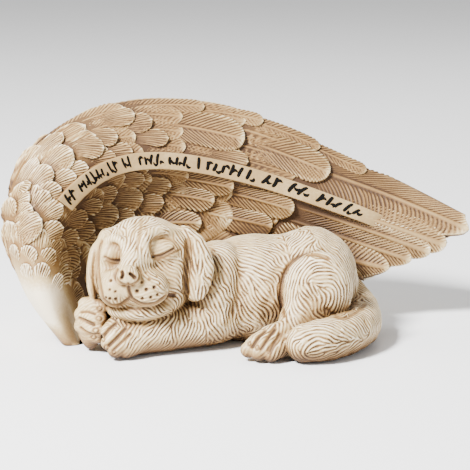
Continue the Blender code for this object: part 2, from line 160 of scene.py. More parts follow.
def splineWeights(knots, t):
    # weights of a smooth curve that passes through a value at each knot
    knots = np.asarray(knots, float)
    t = np.atleast_1d(np.asarray(t, float))
    slopes = np.gradient(np.eye(len(knots)), knots, axis=0)
    i = np.clip(np.searchsorted(knots, t) - 1, 0, len(knots) - 2)
    step = (knots[i + 1] - knots[i])[:, None]
    x = (t - knots[i])[:, None] / step
    one = np.eye(len(knots))
    return (
        (2 * x**3 - 3 * x**2 + 1) * one[i]
        + (x**3 - 2 * x**2 + x) * step * slopes[i]
        + (3 * x**2 - 2 * x**3) * one[i + 1]
        + (x**3 - x**2) * step * slopes[i + 1]
    )


def wingFace(across, rows, outward):
    # a curved face of the wing: place and directions at shares along and across
    across = np.array(across)
    points = np.array(rows, float)
    alongKnots = np.linspace(0, 1, points.shape[1])

    def place(along, over):
        a = splineWeights(alongKnots, along)
        c = splineWeights(across, over)
        return np.einsum("ni,nj,jik->nk", a, c, points)

    def directions(along, over):
        step = 0.01
        u = np.clip(along, step, 1 - step)
        v = np.clip(over, step, 1 - step)
        byAlong = (place(u + step, v) - place(u - step, v)) / (2 * step)
        byAcross = (place(u, v + step) - place(u, v - step)) / (2 * step)
        normal = outward * np.cross(byAcross, byAlong)
        return byAlong, byAcross, normal / np.linalg.norm(normal, axis=1)[:, None]

    return {"place": place, "directions": directions, "outward": outward}


frontFace = wingFace(wing["frontAcross"], wing["frontRows"], 1)
backFace = wingFace(wing["backAcross"], wing["backRows"], -1)


def meshObject(name, points, faces):
    mesh = bpy.data.meshes.new(name)
    corners = [tuple(int(i) for i in face) for face in faces]
    mesh.from_pydata([tuple(p) for p in np.asarray(points, float)], [], corners)
    made = bpy.data.objects.new(name, mesh)
    bpy.context.scene.collection.objects.link(made)
    return made


def addAttribute(mesh, name, values, kind="FLOAT"):
    values = np.asarray(values, np.float32)
    layer = mesh.attributes.new(name, kind, "POINT")
    layer.data.foreach_set("vector" if kind == "FLOAT_VECTOR" else "value", values.ravel())


def addUv(mesh, flat):
    # one place on the UV map for each vertex
    layer = mesh.uv_layers.new(name="place")
    corner = np.empty(len(mesh.loops), np.int32)
    mesh.loops.foreach_get("vertex_index", corner)
    layer.data.foreach_set("uv", flat[corner].astype(np.float32).ravel())


# The face as a mesh with a UV map, a little larger than the wing, so that feathers can be laid on it.
faceMargin = {"alongLow": 0.03, "along": 1.07, "acrossLow": 0.08, "across": 1.14}


def faceUv(along, across):
    u = (np.asarray(along) + faceMargin["alongLow"]) / faceMargin["along"]
    v = (np.asarray(across) + faceMargin["acrossLow"]) / faceMargin["across"]
    return u, v


def faceSurface(name, face, cells=(180, 80)):
    u, v = np.meshgrid(np.linspace(0, 1, cells[0]), np.linspace(0, 1, cells[1]), indexing="ij")
    along = u.ravel() * faceMargin["along"] - faceMargin["alongLow"]
    across = v.ravel() * faceMargin["across"] - faceMargin["acrossLow"]
    number = np.arange(cells[0] * cells[1]).reshape(cells)
    quads = np.stack([number[:-1, :-1], number[1:, :-1], number[1:, 1:], number[:-1, 1:]], -1).reshape(-1, 4)
    made = meshObject(name, face["place"](along, across) * unit, quads)
    addAttribute(made.data, "out", face["directions"](along, across)[2], "FLOAT_VECTOR")
    addAttribute(made.data, "share", np.stack([along, across, 0 * along], 1), "FLOAT_VECTOR")
    addUv(made.data, np.stack([u.ravel(), v.ravel()], 1))
    return made


# Arithmetic on node sockets, so that a formula in a node tree reads as one.
class Wire:
    def __init__(self, tree, socket):
        self.tree = tree
        self.socket = socket

    def __add__(self, other):
        return calc(self.tree, "ADD", self, other)

    def __radd__(self, other):
        return calc(self.tree, "ADD", other, self)

    def __sub__(self, other):
        return calc(self.tree, "SUBTRACT", self, other)

    def __rsub__(self, other):
        return calc(self.tree, "SUBTRACT", other, self)

    def __mul__(self, other):
        return calc(self.tree, "MULTIPLY", self, other)

    def __rmul__(self, other):
        return calc(self.tree, "MULTIPLY", other, self)

    def __truediv__(self, other):
        return calc(self.tree, "DIVIDE", self, other)

    def __pow__(self, other):
        return calc(self.tree, "POWER", self, other)


def feed(tree, value, socket):
    if isinstance(value, Wire):
        tree.links.new(value.socket, socket)
    elif isinstance(value, bpy.types.NodeSocket):
        tree.links.new(value, socket)
    else:
        socket.default_value = value


def calc(tree, operation, *values):
    node = tree.nodes.new("ShaderNodeMath")
    node.operation = operation
    for value, socket in zip(values, node.inputs):
        feed(tree, value, socket)
    return Wire(tree, node.outputs[0])


def vectorCalc(tree, operation, *values):
    node = tree.nodes.new("ShaderNodeVectorMath")
    node.operation = operation
    sockets = [node.inputs[0], node.inputs[1]]
    if operation == "SCALE":
        sockets = [node.inputs[0], node.inputs["Scale"]]
    for value, socket in zip(values, sockets):
        feed(tree, value, socket)
    return Wire(tree, node.outputs[0])


def between(tree, share, first, last):
    # the vector at a share of the way from the first to the last
    return vectorCalc(
        tree, "ADD", vectorCalc(tree, "SCALE", first, 1.0 - share), vectorCalc(tree, "SCALE", last, share))


def carried(tree, start, direction, amount):
    # the vector that lies so far from the start along a direction
    return vectorCalc(tree, "ADD", start, vectorCalc(tree, "SCALE", direction, amount))


def ramp(tree, value, low, high):
    # 0 below low, 1 above high, smooth between
    node = tree.nodes.new("ShaderNodeMapRange")
    node.interpolation_type = "SMOOTHSTEP"
    feed(tree, value, node.inputs["Value"])
    feed(tree, low, node.inputs["From Min"])
    feed(tree, high, node.inputs["From Max"])
    return Wire(tree, node.outputs["Result"])


def mixed(tree, share, a, b):
    return a + (b - a) * share


def addNode(tree, kind, inputs, **settings):
    node = tree.nodes.new(kind)
    for name, value in settings.items():
        setattr(node, name, value)
    for name, value in inputs.items():
        feed(tree, value, node.inputs[name])
    return node


def attributeWire(tree, name, kind="FLOAT"):
    node = addNode(tree, "GeometryNodeInputNamedAttribute", {"Name": name}, data_type=kind)
    return Wire(tree, node.outputs["Attribute"])


def splitWire(tree, vector):
    node = addNode(tree, "ShaderNodeSeparateXYZ", {"Vector": vector})
    return [Wire(tree, s) for s in node.outputs]


def joinWire(tree, x, y, z=0.0):
    node = addNode(tree, "ShaderNodeCombineXYZ", {"X": x, "Y": y, "Z": z})
    return Wire(tree, node.outputs[0])


def stored(tree, geometry, name, value, kind="FLOAT"):
    node = addNode(tree, "GeometryNodeStoreNamedAttribute", {
        "Geometry": geometry, "Name": name, "Value": value}, data_type=kind)
    return node.outputs[0]


def gridOnPoints(tree, points, rows, columns):
    # a flat grid at each point, made real, and each vertex's place on its own grid
    grid = addNode(tree, "GeometryNodeMeshGrid", {
        "Size X": 1.0, "Size Y": 1.0, "Vertices X": rows, "Vertices Y": columns})
    here = tree.nodes.new("GeometryNodeInputPosition").outputs[0]
    marked = stored(tree, grid.outputs["Mesh"], "cell", here, "FLOAT_VECTOR")
    placed = addNode(tree, "GeometryNodeInstanceOnPoints", {"Points": points, "Instance": marked})
    real = addNode(tree, "GeometryNodeRealizeInstances", {"Geometry": placed.outputs[0]})
    cellX, cellY, _ = splitWire(tree, attributeWire(tree, "cell", "FLOAT_VECTOR"))
    return real.outputs[0], cellX, cellY


def faceSampler(tree, face, uv):
    # reads a value off the face object, at a place on its UV map
    info = addNode(tree, "GeometryNodeObjectInfo", {"Object": face})
    uvMap = attributeWire(tree, "place", "FLOAT_VECTOR")

    def sampled(value):
        node = tree.nodes.new("GeometryNodeSampleUVSurface")
        node.data_type = "FLOAT_VECTOR"
        feed(tree, info.outputs["Geometry"], node.inputs[0])
        feed(tree, value, node.inputs["Value"])
        feed(tree, uvMap, node.inputs["UV Map"] if "UV Map" in node.inputs else node.inputs[2])
        feed(tree, uv, node.inputs["Sample UV"])
        return Wire(tree, node.outputs[0])

    return sampled


def startTree(name, inputs):
    tree = bpy.data.node_groups.new(name, "GeometryNodeTree")
    tree.interface.new_socket("Geometry", in_out="INPUT", socket_type="NodeSocketGeometry")
    for label, kind, value in inputs:
        socket = tree.interface.new_socket(label, in_out="INPUT", socket_type="NodeSocket" + kind)
        if value is not None:
            socket.default_value = value
    tree.interface.new_socket("Geometry", in_out="OUTPUT", socket_type="NodeSocketGeometry")
    given = tree.nodes.new("NodeGroupInput")
    return tree, {s.name: Wire(tree, s) for s in given.outputs if s.name}


def endTree(tree, geometry, material):
    realized = addNode(tree, "GeometryNodeRealizeInstances", {"Geometry": geometry})
    smooth = addNode(tree, "GeometryNodeSetShadeSmooth", {"Geometry": realized.outputs[0]})
    finish = addNode(tree, "GeometryNodeSetMaterial", {"Geometry": smooth.outputs[0], "Material": material})
    addNode(tree, "NodeGroupOutput", {"Geometry": finish.outputs[0]})


def grown(carrier, tree, values):
    # runs the tree on the carrier and keeps the result as a plain mesh
    modifier = carrier.modifiers.new(tree.name, "NODES")
    modifier.node_group = tree
    for item in tree.interface.items_tree:
        if item.item_type == "SOCKET" and item.in_out == "INPUT" and item.name in values:
            modifier[item.identifier] = values[item.name]
    return settled(carrier)


def settled(made):
    bpy.context.view_layer.update()
    view = bpy.context.evaluated_depsgraph_get()
    mesh = bpy.data.meshes.new_from_object(
        made.evaluated_get(view), preserve_all_data_layers=True, depsgraph=view
    )
    made.modifiers.clear()
    made.data = mesh
    return made


def featherTree():
    # one feather for each point of the carrier, laid on the face object from root to tip
    tree, given = startTree("feathers laid on a face", [
        ("Face", "Object", None), ("Material", "Material", None), ("Rows", "Int", 60), ("Columns", "Int", 20),
        ("Barb Period", "Float", 1.4), ("Barb Depth", "Float", 0.3), ("Shaft Height", "Float", 0.3),
        ("Sweep", "Float", 1.0), ("Fan", "Float", 0.0), ("Tip Length", "Float", 0.6),
        ("Root Depth", "Float", 1.2), ("Unit", "Float", 0.001),
    ])
    edgeStart, blunt, narrowRoot, crown, pivot = 0.86, 2.3, 0.75, 0.35, 0.55
    fan = given["Fan"]
    rows, columns = given["Rows"], given["Columns"]
    result, cellX, cellY = gridOnPoints(tree, given["Geometry"], rows, columns)
    length, width = attributeWire(tree, "length"), attributeWire(tree, "width")
    proud, chance = attributeWire(tree, "proud"), attributeWire(tree, "chance")
    # s runs from root to tip and b from edge to edge. The first row closes the root, and the last column
    # goes back beneath to close the underside.
    row = (cellX + 0.5) * (rows - 1.0)
    s = calc(tree, "MAXIMUM", row - 1.0, 0.0) / (rows - 2.0)
    cap = calc(tree, "LESS_THAN", row, 0.5)
    column = (cellY + 0.5) * (columns - 1.0)
    back = calc(tree, "GREATER_THAN", column, columns - 1.5)
    b = mixed(tree, back, column * 2.0 / (columns - 2.0) - 1.0, -1.0)
    reach = calc(tree, "ABSOLUTE", b)
    side = calc(tree, "SIGN", b)
    tau = calc(tree, "MINIMUM", reach / edgeStart, 1.0) ** 1.5
    skirt = calc(tree, "MAXIMUM", reach - edgeStart, 0.0) / (1.0 - edgeStart)
    # a is the place along the feather, carried forward towards its edges, and edge is a at the edge itself.
    sweep = calc(tree, "MINIMUM", given["Sweep"] * width * 0.5 / length, 0.42)
    forward = sweep * (1.0 - s * s)
    a = s + forward * tau ** 1.15
    edge = s + forward
    taper = calc(tree, "MINIMUM", calc(tree, "MAXIMUM", given["Tip Length"] * width / length, 0.1), 0.5)
    swell = narrowRoot + (1 - narrowRoot) * calc(tree, "MINIMUM", edge / (1.0 - taper), 1.0)
    past = calc(tree, "MAXIMUM", edge - (1.0 - taper), 0.0) / taper
    rounded = calc(tree, "MAXIMUM", 1.0 - past ** blunt, 0.0) ** 0.5
    half = width * 0.5 * swell * rounded

    # Ridges slant away from the shaft, or fan out from a pivot behind the root.
    along = s * length
    noiseAlong, noiseAcross = along * mixed(tree, fan, 0.22, 0.1), b * mixed(tree, fan, 1.3, 3.6)
    noiseAt = joinWire(tree, noiseAlong, noiseAcross, chance * 40.0)
    noise = addNode(tree, "ShaderNodeTexNoise", {"Vector": noiseAt, "Scale": 1.0, "Detail": 2.0})
    uneven = Wire(tree, noise.outputs[0])
    ray = side * half * tau * (0.85 + pivot) / (a + pivot)
    start = length * (a - sweep * swell * rounded * tau)
    slanting = start / given["Barb Period"] + uneven * 0.9 + side * 0.25
    fanned = ray / given["Barb Period"] + uneven * 1.1
    phase = mixed(tree, fan, slanting, fanned)
    ridge = calc(tree, "ABSOLUTE", calc(tree, "SINE", phase * math.pi))
    shaftWide = given["Shaft Height"] * 1.2 + 0.25
    offShaft = calc(tree, "MAXIMUM", ramp(tree, half * tau / shaftWide, 1.2, 2.1), fan)
    valley = (1.0 - ridge) ** 1.4 * offShaft * (1.0 - cap) * ramp(tree, a, 1.0, 0.93)
    depth = given["Barb Depth"] * mixed(tree, uneven, 0.2, 1.7)
    lateral = side * half * tau * (1.0 - cap) * (1.0 + 0.05 * (ridge - 0.6) * tau ** 4.0)
    shaftShare = lateral / shaftWide
    shaft = calc(tree, "EXPONENT", shaftShare * shaftShare * -1.0) * (1.0 - a ** 5.0)
    besideShaft = (calc(tree, "ABSOLUTE", shaftShare) - 1.9) / 0.65
    shaftGroove = calc(tree, "EXPONENT", besideShaft * besideShaft * -1.0) * (1.0 - a ** 3.0) * (1.0 - fan)
    camber = 1.0 - crown * tau * tau
    lift = ((given["Root Depth"] + proud) * a ** 0.8 - given["Root Depth"]) * camber
    sideRim = ramp(tree, tau, 0.74, 0.97) * ramp(tree, a, 0.35, 0.75)
    rim = calc(tree, "MAXIMUM", sideRim, ramp(tree, past, 0.8, 1.0))
    height = lift - valley * depth + (shaft - shaftGroove * 0.7) * given["Shaft Height"] + rim * 0.18
    beneath = given["Root Depth"] * -1.6
    height = mixed(tree, skirt, height, beneath)
    height = mixed(tree, calc(tree, "MAXIMUM", cap, back), height, beneath)

    tip, root = attributeWire(tree, "tip", "FLOAT_VECTOR"), attributeWire(tree, "root", "FLOAT_VECTOR")
    besideTip = attributeWire(tree, "besideTip", "FLOAT_VECTOR")
    besideRoot = attributeWire(tree, "besideRoot", "FLOAT_VECTOR")
    uv = carried(tree, between(tree, a, root, tip), between(tree, a, besideRoot, besideTip), lateral)
    uv = vectorCalc(tree, "MAXIMUM", uv, (0.001, 0.001, 0.0))
    uv = vectorCalc(tree, "MINIMUM", uv, (0.999, 0.999, 1.0))
    sampled = faceSampler(tree, given["Face"], uv)
    position = sampled(tree.nodes.new("GeometryNodeInputPosition").outputs[0])
    out = sampled(attributeWire(tree, "out", "FLOAT_VECTOR"))
    share = sampled(attributeWire(tree, "share", "FLOAT_VECTOR"))
    where = carried(tree, position, out, height * given["Unit"])
    whereX, whereY, whereZ = splitWire(tree, where)
    where = joinWire(tree, whereX, whereY, calc(tree, "MAXIMUM", whereZ, 0.0))
    # What the finish reads: grooves, worn crests, and the place on the wing.
    groove = (valley * mixed(tree, uneven, 0.5, 1.1) + shaftGroove * 0.6) * (1.0 - skirt)
    # the root of each feather is darkened, partly wash and partly painted shade under the feather that
    # overlaps it, and the skirt beneath its edge is darkened as painted shade
    groove = groove + 0.4 * (1.0 - ramp(tree, a, 0.1, 0.55)) + skirt * 0.55
    worn = ramp(tree, ridge, 0.45, 1.0) * offShaft * (0.2 + uneven * 0.9) + ramp(tree, a, 0.55, 1.0) * 0.45
    crest = rim * (1.0 - skirt) * 1.2 + shaft * 0.6 * (1.0 - fan)
    crest = crest + worn * ramp(tree, a, 0.1, 0.5) * (1.0 - skirt)
    result = stored(tree, result, "groove", groove)
    result = stored(tree, result, "crest", crest)
    result = stored(tree, result, "share", share, "FLOAT_VECTOR")
    moved = addNode(tree, "GeometryNodeSetPosition", {"Geometry": result, "Position": where})
    merged = addNode(tree, "GeometryNodeMergeByDistance", {"Geometry": moved.outputs[0], "Distance": 2e-6})
    endTree(tree, merged.outputs[0], given["Material"])
    return tree


def featherPoints(name, face, feathers, proud, seed):
    # one vertex for each feather, with what the tree needs to lay it
    chance = np.random.default_rng(seed)
    tips = np.array([f[0] for f in feathers], float)
    roots = np.array([f[1] for f in feathers], float)
    widths = np.array([f[2] for f in feathers], float)
    made = meshObject(name, np.zeros((len(feathers), 3)), [])
    mesh = made.data
    ends = {}
    for label, at in (("tip", tips), ("root", roots)):
        byAlong, byAcross, normal = face["directions"](at[:, 0], at[:, 1])
        heading = byAlong * (tips - roots)[:, :1] + byAcross * (tips - roots)[:, 1:]
        sideways = np.cross(normal, heading) * face["outward"]
        sideways /= np.linalg.norm(sideways, axis=1)[:, None]
        aa, cc = (byAlong**2).sum(1), (byAcross**2).sum(1)
        ac, oa, oc = (byAlong * byAcross).sum(1), (sideways * byAlong).sum(1), (sideways * byAcross).sum(1)
        span = aa * cc - ac**2
        du = (oa * cc - oc * ac) / span / faceMargin["along"]
        dv = (oc * aa - oa * ac) / span / faceMargin["across"]
        ends[label] = np.stack([du, dv, 0 * du], 1)
    for label, at in (("tip", tips), ("root", roots)):
        u, v = faceUv(at[:, 0], at[:, 1])
        addAttribute(mesh, label, np.stack([u, v, 0 * u], 1), "FLOAT_VECTOR")
        addAttribute(mesh, "beside" + label.capitalize(), ends[label], "FLOAT_VECTOR")
    steps = np.linspace(0, 1, 9)
    lengths = []
    for tip, root in zip(tips, roots):
        line = root + np.outer(steps, tip - root)
        path = face["place"](line[:, 0], line[:, 1])
        lengths.append(np.linalg.norm(np.diff(path, axis=0), axis=1).sum())
    addAttribute(mesh, "length", lengths)
    addAttribute(mesh, "width", widths)
    addAttribute(mesh, "proud", np.broadcast_to(np.asarray(proud, float), len(feathers)))
    addAttribute(mesh, "chance", chance.random(len(feathers)))
    return made


def shoulderScales():
    scales = []
    for row in range(backLayer["rows"]):
        share = row / (backLayer["rows"] - 1)
        tip = backLayer["from"] + (backLayer["until"] - backLayer["from"]) * share
        start = 0.04 + (0.5 * backLayer["acrossStep"] if row % 2 else 0.0)
        for across in np.arange(start, 0.97, backLayer["acrossStep"]):
            size = backLayer["width"] * (0.75 + 0.25 * share)
            scales.append(((tip, across), (tip - 0.06 - 0.02 * share, across), size))
    return scales


def underFeathers(first, last):
    # a low, staggered layer beneath the others, so that no bare face shows between them
    made = []
    for number, tip in enumerate(np.arange(first, last, under["alongStep"])):
        start = under["acrossStep"] * (0.9 if number % 2 else 0.4)
        for across in np.arange(start, 1.0, under["acrossStep"]):
            later = min(max((tip - under["growFrom"]) / under["growOver"], 0.0), 1.0)
            length = under["length"] + under["length"] * later
            at = np.array([tip - 0.4 * length]), np.array([across])
            spread = float(np.linalg.norm(frontFace["directions"](*at)[1])) * under["acrossStep"]
            made.append(((tip, across), (tip - length, across), spread * under["overlap"]))
    return made


def backTiers():
    tiers = []
    for tip, length, first, width in backLayer["tiers"]:
        for across in np.arange(first, 1.0, backLayer["acrossStep"]):
            tiers.append(((tip, across), (tip - length, across), width))
    return tiers


def joinPieces(name, pieces):
    first = pieces[0]
    with bpy.context.temp_override(active_object=first, selected_editable_objects=pieces):
        bpy.ops.object.join()
    first.name = name
    first.data.name = name
    return first


def wingBlank(material):
    # the wing beneath its feathers, closed between its front and back faces
    cells, inset = wing["blankCells"], wing["blankInset"]
    s, t = np.meshgrid(np.linspace(0, 1, cells[0]), np.linspace(0, 1, cells[1]), indexing="ij")
    along = (s * (1 - 2 * inset)).ravel()
    across = (inset + t * (1 - inset)).ravel()
    front, back = frontFace["place"](along, across), backFace["place"](along, across)
    number = np.arange(front.shape[0]).reshape(cells)
    quads = np.stack([number[:-1, :-1], number[:-1, 1:], number[1:, 1:], number[1:, :-1]], -1).reshape(-1, 4)
    other = quads[:, ::-1] + front.shape[0]
    border = np.concatenate([number[0, :], number[1:, -1], number[-1, -2::-1], number[-2:0:-1, 0]])
    ahead = np.roll(border, -1)
    far = front.shape[0]
    wall = np.stack([border, ahead, ahead + far, border + far], 1)
    points = np.concatenate([front, back]) * unit
    points[:, 2] = np.maximum(points[:, 2], 0.0)
    made = meshObject("wing_blank", points, np.concatenate([quads, other, wall]))
    # the front is stained as its feathers are, and the back evenly and lightly
    even = np.full_like(along, 0.2)
    shares = [np.concatenate([along, even]), np.concatenate([across, even]), np.zeros(len(points))]
    addAttribute(made.data, "share", np.stack(shares, 1), "FLOAT_VECTOR")
    stained = wing["blankStain"] * np.clip((along - 0.14) / 0.16, 0, 1)
    addAttribute(made.data, "groove", np.concatenate([stained, stained * 0.4]))
    addAttribute(made.data, "crest", np.zeros(len(points)))
    made.data.materials.append(material)
    turnOutward(made)
    return made


def turnOutward(made):
    bm = bmesh.new()
    bm.from_mesh(made.data)
    bmesh.ops.recalc_face_normals(bm, faces=bm.faces)
    bm.to_mesh(made.data)
    bm.free()
    made.data.shade_smooth()


# The ribbon that carries the inscription.
ribbon = {"start": 0.335, "end": 0.905, "middle": 0.45, "width": 8.6, "taper": 0.2, "proud": 2.3,
          "round": 0.35, "depth": 1.2, "fade": 0.03, "sunk": 0.6}


def ribbonFrame(along):
    across = np.full_like(along, ribbon["middle"])
    _, over, normal = frontFace["directions"](along, across)
    over = over / np.linalg.norm(over, axis=1)[:, None]
    share = (along - ribbon["start"]) / (ribbon["end"] - ribbon["start"])
    return frontFace["place"](along, across), over, normal, ribbon["width"] * (1 - ribbon["taper"] * share)


def makeRibbon(material):
    # a band with softly rounded edges, closed beneath and at both cut ends
    lengths = 220
    turn = np.linspace(0, math.pi / 2, 5)
    soft = ribbon["round"]
    top = ribbon["proud"]
    lowHalf = [(-0.5, 0.0, -ribbon["depth"])]
    lowHalf += [(-0.5, soft * (1 - math.cos(a)), top - soft * (1 - math.sin(a))) for a in turn]
    profile = lowHalf + [(x, 0.0, top) for x in (-0.3, -0.1, 0.1, 0.3)]
    profile += [(-x, -o, h) for x, o, h in reversed(lowHalf)]
    along = np.linspace(ribbon["start"], ribbon["end"], lengths)
    place, over, normal, width = ribbonFrame(along)
    # the last end sinks into the feather
    sunk = np.clip(1 - (ribbon["end"] - along) / ribbon["fade"], 0, 1) ** 2
    points = []
    for x, inset, height in profile:
        low = height - sunk * max(height - ribbon["sunk"], 0.0)
        points.append(place + over * (x * width + inset)[:, None] + normal * low[:, None])
    points = np.stack(points, 1)
    count = len(profile)
    number = np.arange(lengths * count).reshape(lengths, count)
    ahead = np.roll(number, -1, axis=1)
    quads = np.stack([number[:-1], ahead[:-1], ahead[1:], number[1:]], -1).reshape(-1, 4)
    faces = [tuple(q) for q in quads] + [tuple(number[0, ::-1]), tuple(number[-1])]
    made = meshObject("inscription_ribbon", points.reshape(-1, 3) * unit, faces)
    turnOutward(made)
    made.data.set_sharp_from_angle(angle=math.radians(50))
    made.data.materials.append(material)
    return made


# The strokes stand where the inscription is. They are no letters: short brush marks, in groups.
strokes = {"groups": (2, 6, 2, 2, 4, 3, 7, 2, 2, 5), "first": 0.015, "last": 0.955, "gap": 0.8, "seed": 11,
           "pen": 0.78, "proud": 0.16, "second": 0.9, "heights": (0.52, 0.56, 0.70, 0.76),
           "turns": (-66, -50, 48, 66, 84), "drops": (-0.16, 0.0, 0.14), "bends": (-0.8, 0.7), "short": 0.32}


def ribbonGuide():
    # the top of the ribbon as a mesh with a UV map, from end to end and from its upper edge down
    along = np.linspace(ribbon["start"], ribbon["end"], 160)
    place, over, normal, width = ribbonFrame(along)
    shares = np.linspace(0, 1, 9)
    rows = [place + over * ((v - 0.5) * width)[:, None] + normal * ribbon["proud"] for v in shares]
    number = np.arange(along.size * shares.size).reshape(shares.size, along.size)
    quads = np.stack([number[:-1, :-1], number[1:, :-1], number[1:, 1:], number[:-1, 1:]], -1).reshape(-1, 4)
    made = meshObject("ribbon_guide", np.concatenate(rows) * unit, quads)
    addAttribute(made.data, "out", np.tile(normal, (shares.size, 1)), "FLOAT_VECTOR")
    u, v = np.tile(np.linspace(0, 1, along.size), shares.size), np.repeat(shares, along.size)
    addUv(made.data, np.stack([u, v], 1))
    length = np.linalg.norm(np.diff(place, axis=0), axis=1).sum()
    return made, length


def strokeTree():
    # a bent, round-ended stroke at each point, laid on the ribbon
    tree, given = startTree("brush strokes on the ribbon", [
        ("Face", "Object", None), ("Material", "Material", None), ("Pen", "Float", 0.45),
        ("Proud", "Float", 0.12), ("Unit", "Float", 0.001)])
    marks, cellX, cellY = gridOnPoints(tree, given["Geometry"], 17, 9)
    x, y = cellX * 2.0, cellY * 2.0
    size, slant, bend = attributeWire(tree, "size"), attributeWire(tree, "slant"), attributeWire(tree, "bend")
    ends = calc(tree, "MAXIMUM", 1.0 - x ** 2.0 * calc(tree, "ABSOLUTE", x) ** 3.0, 0.0) ** 0.5
    across = y * ends * given["Pen"]
    along = x * size * 0.5
    crown = calc(tree, "MAXIMUM", 1.0 - y * y, 0.0) ** 0.5 * ends
    curve = bend * (1.0 - x * x)
    up = along * calc(tree, "COSINE", slant) - (across + curve) * calc(tree, "SINE", slant)
    sideways = along * calc(tree, "SINE", slant) + (across + curve) * calc(tree, "COSINE", slant)
    at = attributeWire(tree, "at", "FLOAT_VECTOR")
    run, rise = attributeWire(tree, "run", "FLOAT_VECTOR"), attributeWire(tree, "rise", "FLOAT_VECTOR")
    uv = vectorCalc(tree, "ADD", at, carried(tree, vectorCalc(tree, "SCALE", run, sideways), rise, up))
    sampled = faceSampler(tree, given["Face"], uv)
    position = sampled(tree.nodes.new("GeometryNodeInputPosition").outputs[0])
    out = sampled(attributeWire(tree, "out", "FLOAT_VECTOR"))
    height = (crown * (given["Proud"] + 0.05) - 0.05) * given["Unit"]
    where = carried(tree, position, out, height)
    moved = addNode(tree, "GeometryNodeSetPosition", {"Geometry": marks, "Position": where})
    endTree(tree, moved.outputs[0], given["Material"])
    return tree


def strokePoints(length):
    # a leaning bar at each place, and after some of them a short bent mark
    chance = np.random.default_rng(strokes["seed"])
    total = sum(strokes["groups"]) + strokes["gap"] * (len(strokes["groups"]) - 1)
    step = (strokes["last"] - strokes["first"]) / total
    at, marks = 0.4, []
    for group in strokes["groups"]:
        for _ in range(group):
            u = strokes["first"] + step * (at + chance.uniform(-0.06, 0.06))
            tall = chance.choice(strokes["heights"])
            marks.append((u, tall, (tall - 0.48) * 0.3, chance.uniform(6, 30), chance.uniform(-0.4, 0.4)))
            if chance.random() < strokes["second"]:
                turn = chance.choice(strokes["turns"]) + chance.uniform(-8, 8)
                drop = chance.choice(strokes["drops"])
                bend = chance.choice(strokes["bends"])
                marks.append((u + step * 0.44, strokes["short"], drop, turn, bend))
            at += 1
        at += strokes["gap"]
    u, tall, lift, slant, bend = np.array(marks).T
    width = ribbon["width"] * (1 - ribbon["taper"] * u)
    made = meshObject("stroke_points", np.zeros((len(u), 3)), [])
    flat = np.zeros_like(u)
    addAttribute(made.data, "at", np.stack([u, 0.5 - lift, flat], 1), "FLOAT_VECTOR")
    addAttribute(made.data, "run", np.stack([flat + 1.0 / length, flat, flat], 1), "FLOAT_VECTOR")
    addAttribute(made.data, "rise", np.stack([flat, -1.0 / width, flat], 1), "FLOAT_VECTOR")
    addAttribute(made.data, "size", tall * width)
    addAttribute(made.data, "slant", np.radians(slant))
    addAttribute(made.data, "bend", bend)
    return made


# The photograph's camera as a function, for lines that are placed by pixel.
tilt = math.radians(camera["elevation"])
viewAhead = np.array([0.0, math.cos(tilt), -math.sin(tilt)])
viewUp = np.array([0.0, math.sin(tilt), math.cos(tilt)])
viewPlace = np.array(camera["target"]) - viewAhead * camera["distance"]
focal = camera["distance"] / camera["perPixel"]
middle = camera["pixels"] / 2


def toPixels(points):
    away = points - viewPlace
    depth = away @ viewAhead
    return np.stack([middle + focal * away[:, 0] / depth, middle - focal * (away @ viewUp) / depth], 1)


def spot(px, py, y):
    # the place behind a pixel at a given depth y
    ray = viewAhead + np.array([1.0, 0, 0]) * ((px - middle) / focal) + viewUp * ((middle - py) / focal)
    return viewPlace + ray * ((y - viewPlace[1]) / ray[1])


# The puppy is built up like clay: each form is merged with what is there, softly over "soft" mm.
puppy = {"cell": 0.41, "low": (-69, -53, -1.3), "high": (66, 36, 61), "cuts": (-18.0, 20.0)}

torsoForms = (
    ((9, 6, 19.5), (30, 27, 24), 0, 1.0), ((33, 6, 25), (17, 25, 22), 0, 7.0),
    ((41, 6, 22), (12, 21, 19), 0, 6.0), ((-20, -7, 28), (14, 15, 17), 0, 6.0),
)
shoulderForms = (((-9, -5, 22), (14.2, 20.0, 21.5), 10, 1.6),)
thighForms = (((35.0, -20.5, 25.0), (14.5, 10.5, 17.0), 8, 1.2), ((27, -26, 13.5), (8.5, 8.0, 9.5), 30, 3.5))
pawForms = (((-48.5, -30.5, 7.2), (6.0, 6.2, 6.4), 0, 1.0), ((-61, -22.5, 11.0), (5.0, 5.5, 10.5), 0, 1.0),
            ((15.5, -34.5, 6.8), (7.0, 6.0, 6.2), 0, 1.0))
# Creases of the body, carved before the leg and the haunch go on: pixel, depth y, and radius in mm.
creases = (
    ((236.5, 258, -15.0, 1.6), (238.5, 270, -19.0, 2.2), (239, 284, -22.0, 2.4), (235, 298, -22.5, 2.4),
     (230, 313, -22.0, 2.2), (222, 332, -20.0, 1.8)),
    ((283, 312, -24.0, 2.0), (280.5, 300, -25.0, 2.6), (281, 285, -24.5, 2.8), (285, 271, -22.0, 2.6),
     (293, 260, -18.5, 2.2), (304, 254, -15.0, 1.6)),
)
headForms = (
    ((-38, -17, 41), (18.5, 16.5, 15.3), 0, 3.0), ((-24.5, -19, 43), (7.0, 10, 9), 20, 4.0),
    ((-53.5, -18, 43), (4.0, 8, 8), -12, 4.0), ((-41, -25, 31), (16.0, 13, 12), 0, 4.0),
    ((-26, -21, 31.5), (7.5, 11.5, 12), 0, 4.0), ((-54.5, -21, 33), (4.6, 9, 11), 0, 4.0),
    ((-43, -32, 32), (11.5, 10.5, 8.0), 0, 4.0), ((-40, -28.5, 19.8), (13.5, 9.5, 5.0), -3, 1.6),
    ((-27.5, -23, 22.0), (6.0, 8.0, 4.5), -24, 4.0),
)
browChains = (
    ((-43.6, -38.5, 38.0, 4.4), (-41.5, -33, 41.5, 5.6), (-39.6, -27, 45.5, 7.0)),
)
